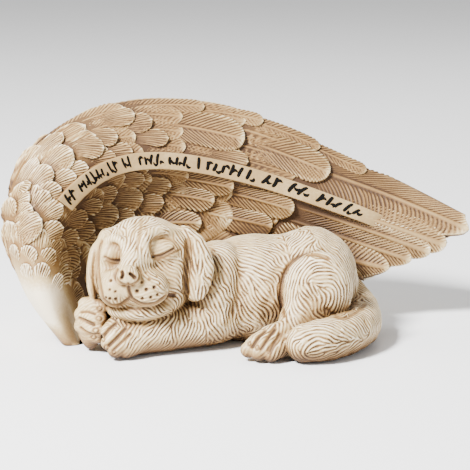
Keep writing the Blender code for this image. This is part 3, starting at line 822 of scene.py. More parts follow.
flewForms = (
    ((-36.2, -35.0, 29.6), (8.8, 8.2, 7.2), -8, 1.6), ((-50.0, -34.0, 29.4), (6.4, 8.0, 7.3), 0, 1.6),
)
# Socket hollows first, then the closed lids within them.
socketHollows = (
    ((-30.0, -33.4, 43.6), (6.6, 2.2, 4.9), -17, 3.2), ((-51.2, -32.2, 41.6), (4.4, 2.1, 4.6), 14, 3.2),
)
lidForms = (
    ((-29.6, -28.4, 44.2), (6.3, 4.1, 4.7), -17, 2.2), ((-51.0, -27.6, 42.4), (4.9, 4.0, 4.5), 14, 2.2),
)
# Folds round the eyes: pixel, depth y, and radius in mm.
browFolds = (
    ((151, 261, -33.0, 1.3), (146.0, 254, -33.5, 1.7), (144.8, 245, -33.2, 2.0), (147.5, 236.5, -31.6, 2.1),
     (156, 231.5, -29.2, 2.2), (167, 231.5, -26.6, 2.2), (177, 237, -23.4, 2.0), (182, 245, -20.6, 1.5)),
    ((103.6, 253, -24.6, 1.2), (106, 244.5, -26.0, 1.6), (112.5, 239, -28.0, 1.8), (119.8, 240.5, -30.2, 1.8),
     (124.2, 247, -32.0, 1.7), (124.4, 255, -33.0, 1.5)),
)
noseForms = (
    ((-43.5, -42.6, 37.3), (4.7, 3.6, 3.9), 0, 0.5), ((-46.3, -42.6, 35.9), (2.3, 2.8, 2.6), 0, 0.8),
    ((-40.6, -42.6, 35.9), (2.3, 2.8, 2.6), 0, 0.8), ((-43.4, -42.9, 34.6), (1.9, 2.2, 1.9), 0, 0.8),
)
# Ears: a chain of discs, flattened by the given ratios.
ears = {
    "right": {"chain": ((-21.5, -20.5, 50.8, 2.6), (-18.6, -23, 47.6, 4.3), (-15.9, -25, 42.5, 5.5),
                        (-14.6, -26.2, 36.0, 5.9), (-15.6, -27.0, 30.0, 5.2), (-17.0, -27.3, 27.0, 4.3)),
              "flat": (1.0, 2.1, 1.0)},
    "left": {"chain": ((-53.8, -16, 46.0, 2.4), (-57.4, -18.5, 43.6, 3.6), (-59.7, -21, 38.5, 4.4),
                       (-60.2, -22.5, 33, 4.6), (-59.9, -23.5, 28.0, 4.5), (-59.4, -24, 25.6, 3.7)),
             "flat": (2.2, 1.0, 1.0)},
}
earGaps = (
    ((187.4, 236, -25.4, 1.0), (188.4, 250, -27.0, 1.6), (187.4, 266, -28.0, 1.8), (185.8, 282, -28.6, 1.6),
     (186.4, 296, -28.0, 1.3)),
    ((101, 245, -24.6, 0.6), (97.2, 256, -26.6, 0.8), (95.6, 270, -27.6, 0.9), (98.6, 285, -28.2, 0.9),
     (101.0, 296, -28.0, 0.8)),
)
legChains = (
    (1.8, ((-2, -10, 12, 9.5), (-10, -16, 11.5, 10.2), (-22, -21, 10.5, 9.8), (-35, -26.5, 9.0, 8.8),
           (-45, -31.5, 7.6, 7.4))),
    (2.0, ((-44, -12, 10, 8), (-53, -17, 10, 7.2), (-58, -20.5, 10.5, 6.6))),
    (2.0, ((32, -25, 12, 7.5), (24, -30, 9.6, 6.8), (16.5, -34.5, 8, 6.0))),
)
tailChain = (1.0, ((49, 11, 17, 7.5), (53.5, 3, 13, 8), (54.5, -7, 10, 8.6), (51.5, -20, 9.2, 8.8),
                   (43.5, -32.5, 8.9, 8.7), (34.5, -39.5, 8.5, 8.4), (28.5, -41.5, 8.2, 7.6)))
# Paws: each toe runs from its knuckle to its tip.
toes = (
    (0.9, ((-45.0, -28, 14.5, 4.2), (-49.8, -31.5, 13.0, 3.9), (-52.6, -33.2, 11.2, 3.2))),
    (0.7, ((-45.0, -30.5, 11.5, 4.3), (-49.6, -34.2, 9.2, 4.1), (-52.4, -36.0, 6.9, 3.3))),
    (0.7, ((-42.0, -32.5, 8.5, 4.4), (-46.6, -36.5, 6.4, 4.2), (-49.5, -38.2, 4.5, 3.4))),
    (0.7, ((-37.5, -31.0, 6.6, 4.0), (-42.0, -35.0, 5.0, 3.7), (-45.2, -37.4, 3.6, 2.9))),
    (0.9, ((-63, -21, 19.5, 3.2), (-59.5, -24.5, 20.4, 3.2), (-55.6, -27, 19.9, 2.6))),
    (0.7, ((-64.5, -22, 15.4, 3.4), (-60.5, -25.8, 16.0, 3.5), (-56.2, -28.6, 15.5, 3.0))),
    (0.7, ((-64.5, -22, 10.6, 3.5), (-61, -26.2, 11.0, 3.5), (-56.9, -29.2, 10.6, 3.0))),
    (0.7, ((-63.0, -21, 6.8, 3.3), (-60, -25.0, 7.0, 3.2), (-57.2, -27.4, 7.0, 2.7))),
    (0.8, ((16.5, -33.5, 9.5, 4.6), (9.5, -37.2, 6.9, 4.2), (5.6, -38.8, 4.6, 3.3))),
    (0.7, ((18.5, -35.5, 9.0, 4.4), (12.8, -40.0, 6.0, 4.1), (9.6, -41.6, 4.2, 3.3))),
    (0.7, ((21.0, -36.0, 7.6, 4.2), (16.8, -40.4, 5.2, 3.9), (14.6, -42.0, 3.9, 3.2))),
)

# Lines cut into the clay: width and depth in mm, along pixels of the photograph.
cutLines = (
    (0.55, 0.75, ((153.2, 256.6), (160, 256.0), (167, 252.6), (174, 248.4))),
    (0.50, 0.38, ((155.5, 259.2), (162, 258.2), (170, 254.4), (179.3, 249.8))),
    (0.55, 0.25, ((151.3, 240.5), (158, 237.6), (166, 237.9), (173, 241.4), (177.4, 247.6))),
    (0.55, 0.25, ((151.0, 241.0), (150.3, 247.0), (152.8, 255.4))),
    (0.55, 0.70, ((105.0, 257.2), (111.3, 260.2), (119.5, 261.0))),
    (0.50, 0.35, ((106.5, 261.2), (112.5, 263.6), (119.0, 263.6))),
    (0.55, 0.25, ((106.2, 256.0), (107.4, 249.0), (111.6, 244.6), (116.4, 245.0), (119.8, 249.4),
                  (120.8, 256.0))),
    (0.60, 0.80, ((128.2, 284.0), (129.2, 291.0), (131.8, 298.0))),
    (0.60, 0.70, ((131.8, 298.0), (138, 302.4), (148, 304.2), (157.7, 302.0), (164, 297.6), (169.5, 294.8),
                  (174.4, 295.0))),
    (0.60, 0.60, ((103.2, 299.0), (111.3, 305.0), (120.2, 304.6), (127.2, 299.6), (130.6, 296.0))),
    (0.55, 0.65, ((117.0, 269.6), (115.4, 276.0), (118.6, 281.6), (124.0, 284.6), (132.0, 284.8),
                  (138.0, 281.0), (140.2, 275.0), (138.0, 268.4))),
    (0.9, 0.26, ((137.0, 248.0), (138.6, 238.0), (140.8, 228.0), (141.6, 220.0))),
    (0.7, 0.20, ((131.0, 236.0), (134.6, 229.0), (136.0, 222.0))),
    (0.7, 0.18, ((146.6, 233.0), (145.4, 226.0), (146.8, 220.0))),
    (0.6, 0.20, ((113.0, 307.0), (127.0, 308.6), (146.0, 308.0), (158.0, 305.0))),
    (0.6, 0.8, ((115.8, 323.6), (109.4, 329.0), (103.4, 336.0))),
    (0.6, 0.8, ((125.6, 328.0), (117.0, 337.6), (108.6, 345.8))),
    (0.6, 0.7, ((130.4, 334.0), (120.6, 343.0), (113.2, 350.4))),
    (0.5, 0.6, ((81.0, 312.0), (88.0, 311.4), (95.0, 313.6))),
    (0.5, 0.7, ((79.6, 318.0), (86.0, 320.8), (94.0, 324.6))),
    (0.5, 0.7, ((80.4, 327.4), (85.6, 331.6), (92.6, 334.4), (99.0, 334.0))),
    (0.6, 0.7, ((265.0, 331.0), (258.6, 337.8), (252.2, 346.8))),
    (0.6, 0.8, ((275.0, 329.0), (268.0, 338.0), (261.0, 349.0))),
    (0.6, 0.6, ((280.0, 334.0), (274.6, 342.6), (269.8, 351.6))),
    (0.8, 0.3, ((326.4, 309.0), (334.0, 315.4), (343.4, 318.6), (355.0, 313.0), (365.4, 304.4))),
    (0.7, 0.55, ((284.0, 316.0), (281.0, 301.0), (281.5, 285.0), (285.5, 271.5), (293.5, 261.0),
                 (304.0, 255.5), (316.0, 255.0), (328.0, 259.5))),
    (1.2, 0.16, ((237.0, 262.0), (239.0, 276.0), (238.0, 292.0), (232.5, 308.0), (226.0, 324.0))),
    (0.6, 0.5, ((101.5, 241.0), (98.8, 252.0), (98.2, 268.0), (100.0, 284.0), (102.6, 297.0))),
    (0.6, 0.24, ((187.0, 240.0), (187.8, 250.0), (186.8, 266.0), (185.4, 282.0), (186.8, 292.0))),
)
# Small holes: pixel, half width in pixels, depth in mm.
pits = (
    (136.9, 291.0, 1.15, 0.8), (146.3, 289.4, 1.2, 0.8), (154.4, 287.0, 1.2, 0.8),
    (160.0, 283.8, 0.8, 0.35), (141.6, 282.1, 0.9, 0.4), (149.2, 279.0, 1.2, 0.35),
    (142.2, 298.6, 1.0, 0.7), (150.8, 297.3, 1.0, 0.7), (157.5, 294.6, 0.9, 0.6), (110.8, 280.3, 1.0, 0.6),
    (109.7, 289.7, 0.9, 0.5), (115.5, 291.5, 0.9, 0.5), (105.9, 297.6, 0.9, 0.5), (109.7, 298.8, 1.0, 0.7),
    (115.7, 299.0, 1.0, 0.7), (146.0, 272.7, 0.8, 0.3), (156.8, 276.8, 0.8, 0.3), (173.2, 296.2, 1.0, 0.8),
    (170.4, 296.0, 0.8, 0.6),
)
nostrils = (
    ((121.8, 271.6), (122.6, 275.0), (121.4, 278.0)), ((130.2, 273.6), (133.0, 275.8), (135.2, 277.8)),
)
# Claws: pixel and half widths in pixels.
claws = (
    (99.8, 308.6, 2.6, 2.2), (99.2, 318.6, 3.0, 2.4), (96.0, 330.2, 3.0, 2.4), (93.8, 337.4, 2.6, 1.8),
    (106.4, 347.6, 1.8, 2.4), (113.8, 352.0, 1.8, 2.0), (257.4, 347.8, 1.8, 2.4), (269.8, 352.2, 2.0, 2.2),
    (249.4, 343.6, 1.5, 2.2), (103.4, 339.4, 1.5, 2.2),
)
# How the fur lies: pixel, angle in degrees from level, and depth of its grooves in mm.
furLie = (
    (141, 225, 90, 0.16), (124, 232, 118, 0.17), (152, 228, 50, 0.17), (136, 252, 80, 0.19),
    (130, 243, 62, 0.20), (147, 266, 110, 0.13), (128, 262, 90, 0.12), (152, 272, 150, 0.10),
    (170, 277, -30, 0.17), (177, 290, -42, 0.18), (178, 240, -62, 0.14), (166, 266, -22, 0.16),
    (102, 272, 90, 0.07), (116, 290, 90, 0.0), (145, 292, 20, 0.0), (128, 275, 90, 0.0),
    (163, 247, 10, 0.0), (113, 250, 80, 0.0), (120, 312, -45, 0.17), (136, 312, -48, 0.20),
    (165, 309, -22, 0.17), (150, 313, -30, 0.18), (166, 222, -38, 0.12), (180, 226, -45, 0.12),
    (195, 243, -62, 0.17), (203, 262, -76, 0.17), (206, 280, 66, 0.17), (192, 272, -84, 0.15),
    (196, 292, 88, 0.14), (90, 265, 92, 0.02), (212, 292, -48, 0.22), (205, 303, -58, 0.24),
    (190, 306, -64, 0.22), (180, 318, 76, 0.22), (170, 326, 70, 0.22), (150, 328, 60, 0.22),
    (136, 334, 50, 0.18), (165, 340, 58, 0.20), (200, 322, -82, 0.24), (212, 330, -78, 0.24),
    (188, 332, 74, 0.22), (190, 346, 60, 0.05), (150, 349, 40, 0.05), (110, 344, 46, 0.04),
    (88, 325, 10, 0.03), (217, 268, -34, 0.20), (216, 252, -58, 0.18), (226, 262, -52, 0.20),
    (222, 288, -60, 0.24), (231, 280, -74, 0.22), (213, 310, -66, 0.25), (224, 316, -84, 0.24),
    (214, 334, 96, 0.22), (224, 244, -20, 0.10), (243, 262, -36, 0.17), (258, 254, -26, 0.17),
    (258, 270, -28, 0.20), (274, 266, -44, 0.22), (250, 288, -50, 0.24), (266, 288, -44, 0.23),
    (275, 302, -58, 0.23), (244, 312, -52, 0.25), (260, 316, -50, 0.24), (232, 328, -38, 0.20),
    (250, 245, -15, 0.08), (268, 244, -38, 0.17), (284, 250, -64, 0.21), (298, 240, 76, 0.17),
    (300, 248, 74, 0.21), (312, 244, -74, 0.18), (320, 251, -46, 0.18), (327, 240, -58, 0.17),
    (340, 256, -62, 0.18), (321, 267, -8, 0.20), (334, 277, -42, 0.21), (343, 293, -82, 0.20),
    (338, 308, 52, 0.18), (308, 268, 38, 0.20), (298, 278, 66, 0.20), (287, 290, 72, 0.18),
    (300, 296, -56, 0.22), (306, 308, -50, 0.22), (311, 292, -68, 0.22), (297, 316, -58, 0.20),
    (322, 284, 10, 0.18), (328, 296, -60, 0.18), (320, 300, 80, 0.18), (289, 312, 94, 0.16),
    (300, 322, -44, 0.18), (276, 328, 62, 0.15), (262, 338, 52, 0.12), (255, 346, 60, 0.05),
    (366, 309, -52, 0.18), (374, 324, -70, 0.20), (360, 328, -27, 0.22), (345, 334, -26, 0.24),
    (330, 330, -20, 0.24), (318, 337, -22, 0.24), (345, 348, 2, 0.22), (322, 352, 2, 0.22),
    (372, 340, 42, 0.18), (297, 340, 52, 0.20), (292, 350, 92, 0.20), (302, 358, -32, 0.18),
    (309, 331, 27, 0.20), (308, 346, 60, 0.20), (352, 272, -60, 0.17), (359, 290, -76, 0.18),
    (348, 302, 78, 0.18),
)
# The strands: their pitch on the head and on the body, and how far and how often they are evened out.
fur = {"fine": 1.42, "broad": 1.6, "deepen": 2.9, "spread": 8.0, "wave": 0.40, "waveCell": 3.6, "cell": 1.0,
       "long": 2.6, "wide": 1.1, "rounds": 24, "seed": 5, "lump": 0.22, "lumpCell": 3.4}
# Depths in mm of what is cut or raised beside the fur, and how much larger the pits are than listed.
carving = {"lip": 0.12, "nostril": 1.5, "clawRing": 0.40, "clawRaised": 0.22,
           "pitWider": 1.3, "pitDeeper": 1.2}


def startClay(low, high, cell):
    low, high = np.array(low, float), np.array(high, float)
    size = np.ceil((high - low) / cell).astype(int) + 1
    return {"low": low, "cell": cell, "field": np.full(size, 9.0, np.float32)}


def clayWindow(clay, low, high):
    size = np.array(clay["field"].shape)
    first = np.clip(np.floor((low - clay["low"]) / clay["cell"]).astype(int), 0, size)
    last = np.clip(np.ceil((high - clay["low"]) / clay["cell"]).astype(int) + 1, 0, size)
    axes = [np.float32(clay["low"][i] + clay["cell"] * np.arange(first[i], last[i])) for i in range(3)]
    window = tuple(slice(a, b) for a, b in zip(first, last))
    return window, np.meshgrid(*axes, indexing="ij", sparse=True)


def blendClay(clay, window, distance, soft, carve=False):
    # merges a form with the clay, or carves it out, with a fillet of about soft
    old = clay["field"][window]
    sign = -1 if carve else 1
    old, soft = old * sign, max(soft, 0.05)
    fillet = np.maximum(soft - np.abs(old - distance), 0.0) / soft
    clay["field"][window] = sign * (np.minimum(old, distance) - fillet * fillet * soft * 0.25)


def addForm(clay, centre, half, turn, soft, carve=False):
    # an ellipsoid, turned about the y axis by degrees
    angle = math.radians(turn)
    c, s = math.cos(angle), math.sin(angle)
    half, centre = np.array(half, float), np.array(centre, float)
    wide, tall = math.hypot(c * half[0], s * half[2]), math.hypot(s * half[0], c * half[2])
    reach = np.array([wide, half[1], tall]) + soft + 1
    window, (x, y, z) = clayWindow(clay, centre - reach, centre + reach)
    x, y, z = x - centre[0], y - centre[1], z - centre[2]
    u, v, w = (c * x - s * z), y, (s * x + c * z)
    near = np.sqrt((u / half[0]) ** 2 + (v / half[1]) ** 2 + (w / half[2]) ** 2)
    slope = np.sqrt((u / half[0] ** 2) ** 2 + (v / half[1] ** 2) ** 2 + (w / half[2] ** 2) ** 2)
    blendClay(clay, window, near * (near - 1) / np.maximum(slope, 1e-4), soft, carve)


def smoothPath(points, steps=6):
    # a smooth curve through the points, which may carry a radius too
    points = np.array(points, float)
    spans = np.linalg.norm(np.diff(points[:, :2], axis=0), axis=1) + 1e-6
    knots = np.concatenate([[0], np.cumsum(spans)])
    last = len(points) - 1
    t = np.interp(np.linspace(0, last, last * steps + 1), np.arange(last + 1), knots)
    return splineWeights(knots, t) @ points


def addChain(clay, points, soft, flat=(1.0, 1.0, 1.0), carve=False):
    # a limb of changing thickness along a smooth curve
    path = smoothPath(points, 4)
    flat = np.array(flat)
    reach = path[:, 3].max() / flat.min() + soft + 1
    window, (x, y, z) = clayWindow(clay, path[:, :3].min(0) - reach, path[:, :3].max(0) + reach)
    best = None
    for start, stop in zip(path[:-1], path[1:]):
        step = stop - start
        along = (x - start[0]) * step[0] + (y - start[1]) * step[1] + (z - start[2]) * step[2]
        along = np.clip(along / (step[:3] @ step[:3]), 0, 1)
        offset = [(g - start[i] - along * step[i]) * flat[i] for i, g in enumerate((x, y, z))]
        distance = np.sqrt(offset[0] ** 2 + offset[1] ** 2 + offset[2] ** 2) - (start[3] + along * step[3])
        best = distance if best is None else np.minimum(best, distance)
    blendClay(clay, window, best, soft, carve)


def pixelChain(points):
    return [(*spot(px, py, y), radius) for px, py, y, radius in points]


def claySurface(clay):
    # the surface where the distance is nought: one vertex for each cell that it crosses
    field, cell = clay["field"], clay["cell"]
    inside = field < 0
    size = np.array(field.shape)
    ids, places, quads = [], [], []
    for axis in range(3):
        low, high = [slice(None)] * 3, [slice(None)] * 3
        low[axis], high[axis] = slice(0, -1), slice(1, None)
        low, high = tuple(low), tuple(high)
        at = np.argwhere(inside[low] != inside[high])
        first = field[low][tuple(at.T)]
        last = field[high][tuple(at.T)]
        place = at.astype(float)
        place[:, axis] += first / (first - last)
        other = [a for a in range(3) if a != axis]
        corners = []
        for da, db in ((0, 0), (1, 0), (1, 1), (0, 1)):
            owner = at.copy()
            owner[:, other[0]] -= da
            owner[:, other[1]] -= db
            corners.append((owner[:, 0] * size[1] + owner[:, 1]) * size[2] + owner[:, 2])
            places.append(place)
        ids.extend(corners)
        ring = np.stack(corners, 1)
        turned = (first < 0) == (axis == 1)
        ring[turned] = ring[turned][:, ::-1]
        quads.append(ring)
    cells, number = np.unique(np.concatenate(ids), return_inverse=True)
    spots = np.concatenate(places)
    count = np.bincount(number)
    points = np.stack([np.bincount(number, spots[:, i]) / count for i in range(3)], 1)
    quads = np.searchsorted(cells, np.concatenate(quads))
    return points * cell + clay["low"], quads


def edgesOf(quads):
    return np.concatenate([quads[:, [i, (i + 1) % 4]] for i in range(4)])


def relaxed(points, edges, share, rounds):
    # moves each point towards the middle of its neighbours
    count = np.bincount(edges[:, 0], minlength=len(points)) + np.bincount(edges[:, 1], minlength=len(points))
    for _ in range(rounds):
        total = np.stack([
            np.bincount(edges[:, 0], points[edges[:, 1], i], len(points))
            + np.bincount(edges[:, 1], points[edges[:, 0], i], len(points)) for i in range(3)], 1)
        points = points + share * (total / count[:, None] - points)
    return points


def normalsOf(points, quads):
    cross = np.cross(points[quads[:, 2]] - points[quads[:, 0]], points[quads[:, 3]] - points[quads[:, 1]])
    total = np.zeros_like(points)
    for corner in range(4):
        for i in range(3):
            total[:, i] += np.bincount(quads[:, corner], cross[:, i], len(points))
    return total / np.maximum(np.linalg.norm(total, axis=1), 1e-9)[:, None]


def lattice(points, cell, seed):
    # smooth random values, one for each cell of a lattice
    chance = np.random.default_rng(seed)
    table = chance.standard_normal(4096).astype(np.float32)
    at = points / cell
    base = np.floor(at).astype(np.int64)
    f = at - base
    f = f * f * (3 - 2 * f)
    total = np.zeros(len(points))
    for corner in range(8):
        step = np.array([corner & 1, corner >> 1 & 1, corner >> 2 & 1])
        key = (base + step) @ np.array([73856093, 19349663, 83492791])
        weight = np.prod(np.where(step, f, 1 - f), axis=1)
        total += weight * table[(key ^ key >> 13) % 4096]
    return total


def furMap():
    # the lie of the fur on a coarse picture of pixels: doubled angle, and depth
    lie = np.array(furLie, float)
    step = 4
    axis = np.arange(60, 400, step)
    px, py = np.meshgrid(axis, axis, indexing="ij")
    near = (px[..., None] - lie[:, 0]) ** 2 + (py[..., None] - lie[:, 1]) ** 2
    weight = np.exp(-near / (2 * fur["spread"] ** 2)) + 1e-4 / (1 + near)
    weight /= weight.sum(-1, keepdims=True)
    twice = np.radians(lie[:, 2]) * 2
    return {"first": 60, "step": step,
            "values": np.stack([weight @ np.cos(twice), weight @ np.sin(twice), weight @ lie[:, 3]], -1)}


def readMap(chart, pixels):
    at = (pixels - chart["first"]) / chart["step"]
    at = np.clip(at, 0, chart["values"].shape[0] - 1.001)
    base = at.astype(int)
    f = at - base
    v, i, j = chart["values"], base[:, 0], base[:, 1]
    fx, fy = f[:, :1], f[:, 1:]
    above = v[i, j] * (1 - fx) + v[i + 1, j] * fx
    below = v[i, j + 1] * (1 - fx) + v[i + 1, j + 1] * fx
    return above * (1 - fy) + below * fy


def cellKeys(points):
    # one number for the cell that each point lies in
    at = np.floor(points / fur["cell"]).astype(np.int64) + 512
    return (at[:, 0] << 20) + (at[:, 1] << 10) + at[:, 2]


def furStrands(points, normals):
    # even strands: the phase of a wave that runs across the lie of the fur, and how deep they are
    value = readMap(furMap(), toPixels(points))
    angle = 0.5 * np.arctan2(value[:, 1], value[:, 0])
    angle = angle + lattice(points, fur["waveCell"], fur["seed"]) * fur["wave"]
    flow = np.cos(angle)[:, None] * np.array([1.0, 0, 0]) + np.sin(angle)[:, None] * viewUp
    flow -= normals * (flow * normals).sum(1)[:, None]
    flow /= np.maximum(np.linalg.norm(flow, axis=1), 1e-6)[:, None]
    over = np.cross(normals, flow)
    keys = cellKeys(points)
    own, first = np.unique(keys, return_index=True)
    place, side, out = points[first], over[first], normals[first]
    share = np.clip((place[:, 0] + 24) / 10, 0, 1)
    pitch = 2 * math.pi / (fur["fine"] + (fur["broad"] - fur["fine"]) * share)
    reach = range(-2, 3)
    steps = [(a << 20) + (b << 10) + c for a in reach for b in reach for c in reach]

    def around(at, atSide, atOut, atKeys):
        # the sample in each cell nearby: whose it is, its weight, and how far it lies across
        for step in steps:
            found = np.minimum(np.searchsorted(own, atKeys + step), len(own) - 1)
            hit = np.where(own[found] == atKeys + step)[0]
            j = found[hit]
            away = at[hit] - place[j]
            sign = np.where((atSide[hit] * side[j]).sum(1) < 0, -1.0, 1.0)
            across = (away * (side[j] + sign[:, None] * atSide[hit])).sum(1) * 0.5
            ahead = (away**2).sum(1) - across**2
            weight = np.exp(-ahead / fur["long"] ** 2 - across**2 / fur["wide"] ** 2)
            yield hit, j, weight * np.clip((atOut[hit] * out[j]).sum(1), 0, 1), sign, across

    phase = np.random.default_rng(fur["seed"]).uniform(-math.pi, math.pi, len(own))
    ring = list(around(place, side, out, own))
    for _ in range(fur["rounds"]):
        total = np.zeros(len(own), complex)
        for hit, j, weight, sign, across in ring:
            total[hit] += weight * np.exp(1j * sign * (phase[j] + pitch[j] * across))
        phase = np.angle(total)
    total = np.zeros(len(points), complex)
    for hit, j, weight, sign, across in around(points, over, normals, keys):
        total[hit] += weight * np.exp(1j * sign * (phase[j] + pitch[j] * across))
    return np.angle(total) + 0.6 * lattice(points, 2.6, fur["seed"] + 3), value[:, 2]


def nearPath(pixels, path):
    # distance in pixels to a smooth line, or 99 far from it
    line = smoothPath(path, 12)
    low, high = line.min(0) - 8, line.max(0) + 8
    near = np.full(len(pixels), 99.0)
    chosen = np.where(((pixels > low) & (pixels < high)).all(1))[0]
    if len(chosen):
        away = np.linalg.norm(pixels[chosen, None] - line[None], axis=2)
        near[chosen] = away.min(1)
    return near


def modelBody():
    clay = startClay(puppy["low"], puppy["high"], puppy["cell"])
    for form in torsoForms:
        addForm(clay, *form)
    for chain in creases:
        addChain(clay, pixelChain(chain), 2.0, carve=True)
    for form in shoulderForms + thighForms:
        addForm(clay, *form)
    addChain(clay, tailChain[1], tailChain[0])
    for soft, chain in legChains:
        addChain(clay, chain, soft)
    for form in pawForms:
        addForm(clay, *form)
    for soft, chain in toes:
        addChain(clay, chain, soft)
    return clay


def modelHead():
    clay = startClay(puppy["low"], puppy["high"], puppy["cell"])
    for form in headForms:
        addForm(clay, *form)
    for chain in browChains:
        addChain(clay, chain, 3.0)
    for form in socketHollows:
        addForm(clay, *form, carve=True)
    for chain in browFolds:
        addChain(clay, pixelChain(chain), 2.4)
    for form in lidForms + flewForms + noseForms:
        addForm(clay, *form)
    for side in ears.values():
        addChain(clay, side["chain"], 0.8, side["flat"])
    for chain in earGaps:
        addChain(clay, pixelChain(chain), 0.6, carve=True)
    return clay


def modelPuppy():
    # the head is laid on the body with a crisp crease, and all is cut flat beneath
    clay, head = modelBody(), modelHead()
    blendClay(clay, (slice(None),) * 3, head["field"], 0.8)
    floor = -(clay["low"][2] + clay["cell"] * np.arange(clay["field"].shape[2], dtype=np.float32))
    clay["field"] = np.maximum(clay["field"], floor[None, None, :])
    return claySurface(clay)


def carvePuppy(points, quads):
    # fur, lids, lips, pits, toes and claws, cut into the surface along its normals
    edges = edgesOf(quads)
    points = relaxed(points, edges, 0.5, 2)
    points[:, 2] = np.maximum(points[:, 2], 0.0)
    normals = normalsOf(points, quads)
    pixels = toPixels(points)
    perMm = 1.05 / camera["perPixel"]
    facing = np.clip(-(normals @ viewAhead) * 4, 0, 1) * (points[:, 1] < -8)
    raised = np.zeros(len(points))
    cut = np.zeros(len(points))
    for width, depth, path in cutLines:
        near = nearPath(pixels, path) / perMm / width
        cut = np.maximum(cut, depth * np.exp(-near**2))
        raised += carving["lip"] * depth * np.exp(-((near - 2.2) ** 2))
    for path in nostrils:
        cut = np.maximum(cut, carving["nostril"] * np.exp(-(nearPath(pixels, path) / 1.5) ** 4))
    for px, py, half, depth in pits:
        near = np.hypot(pixels[:, 0] - px, pixels[:, 1] - py) / half / carving["pitWider"]
        cut = np.maximum(cut, carving["pitDeeper"] * depth * np.exp(-near**4 * 0.7))
    for px, py, halfX, halfY in claws:
        near = np.hypot((pixels[:, 0] - px) / halfX, (pixels[:, 1] - py) / halfY)
        cut = np.maximum(cut, carving["clawRing"] * np.exp(-((near - 1.0) / 0.28) ** 2))
        raised += carving["clawRaised"] * np.clip(1 - near * near, 0, 1)
    cut *= facing
    raised *= facing
    phase, depth = furStrands(points, normals)
    ridge = np.abs(np.cos(phase / 2))
    patch = 0.35 + 0.8 * np.clip(lattice(points, 2.2, 31) * 0.55 + 0.55, 0, 1)
    groove = np.clip(1 - ridge * 1.2, 0, 1) * patch
    depth = depth * patch * np.clip(1.4 - cut * 4, 0, 1) * np.clip(points[:, 2] / 1.2, 0, 1)
    shift = raised - cut + depth * fur["deepen"] * (ridge**0.75 - 0.6)
    onBody = points[:, 0] > -20
    shift += fur["lump"] * np.clip(depth / 0.15, 0, 1) * lattice(points, fur["lumpCell"], 37) * onBody
    low = points[:, 2] < 0.05
    shift[low] = 0.0
    carved = points + normals * shift[:, None]
    carved[:, 2] = np.maximum(carved[:, 2], 0.0)
    strength = np.clip(depth / 0.14, 0, 1)
    wash = np.clip(groove * strength + np.clip(cut / 0.75, 0, 1), 0, 1)
    crest = np.clip((ridge - 0.6) * 2.5, 0, 1) * strength
    return carved, wash, crest


def makePuppy(material):
    points, quads = modelPuppy()
    carved, wash, crest = carvePuppy(points, quads)
    normals = normalsOf(carved, quads)
    print("puppy modelled:", len(points), "points")
    centres = points[quads].mean(1)[:, 0]
    bounds = (-1e9, *puppy["cuts"], 1e9)
    pieces = []
    for name, low, high in zip(("puppy_head", "puppy_body", "puppy_haunch"), bounds[:-1], bounds[1:]):
        chosen = quads[(centres >= low) & (centres < high)]
        used, renumbered = np.unique(chosen, return_inverse=True)
        made = meshObject(name, carved[used] * unit, renumbered.reshape(-1, 4))
        addAttribute(made.data, "groove", wash[used])
        addAttribute(made.data, "crest", crest[used])
        bm = bmesh.new()
        bm.from_mesh(made.data)
        rim = [e for e in bm.edges if e.is_boundary]
        bmesh.ops.holes_fill(bm, edges=rim, sides=0)
        bm.to_mesh(made.data)
        bm.free()
        made.data.shade_smooth()
        # the whole figure's normals, so that no seam shows where the pieces meet
        made.data.normals_split_custom_set_from_vertices([tuple(n) for n in normals[used]])
        made.data.materials.append(material)
        pieces.append(made)
        print(name, len(made.data.polygons), "faces")
    return pieces


# Cast resin stone with a brown wash that stays in the recesses, and painted shade wherever ambient occlusion
# finds the surface sheltered.
stone = {
    "colours": ((0.0, (0.84, 0.73, 0.53)), (0.14, (0.59, 0.45, 0.235)), (0.32, (0.36, 0.235, 0.098)),
                (0.60, (0.20, 0.102, 0.028)), (1.0, (0.052, 0.022, 0.006))),
    # the reach in metres of the ambient occlusion that paints shade into the colour
    "paintedShade": 0.011, "patches": 55.0, "dents": 230.0, "grain": 900.0, "gloss": 0.42,
    "inputs": (("Groove", 0.0), ("Crest", 0.0), ("Occlusion", 1.0), ("Tan", 0.0)),
}
# How much darker the wing is painted below the ribbon and towards the tips, partly a heavier stain and partly
# painted shade, and how much paler on its foot.
wingStainAndShade = {"below": 0.25, "tips": 0.27, "foot": 0.38}


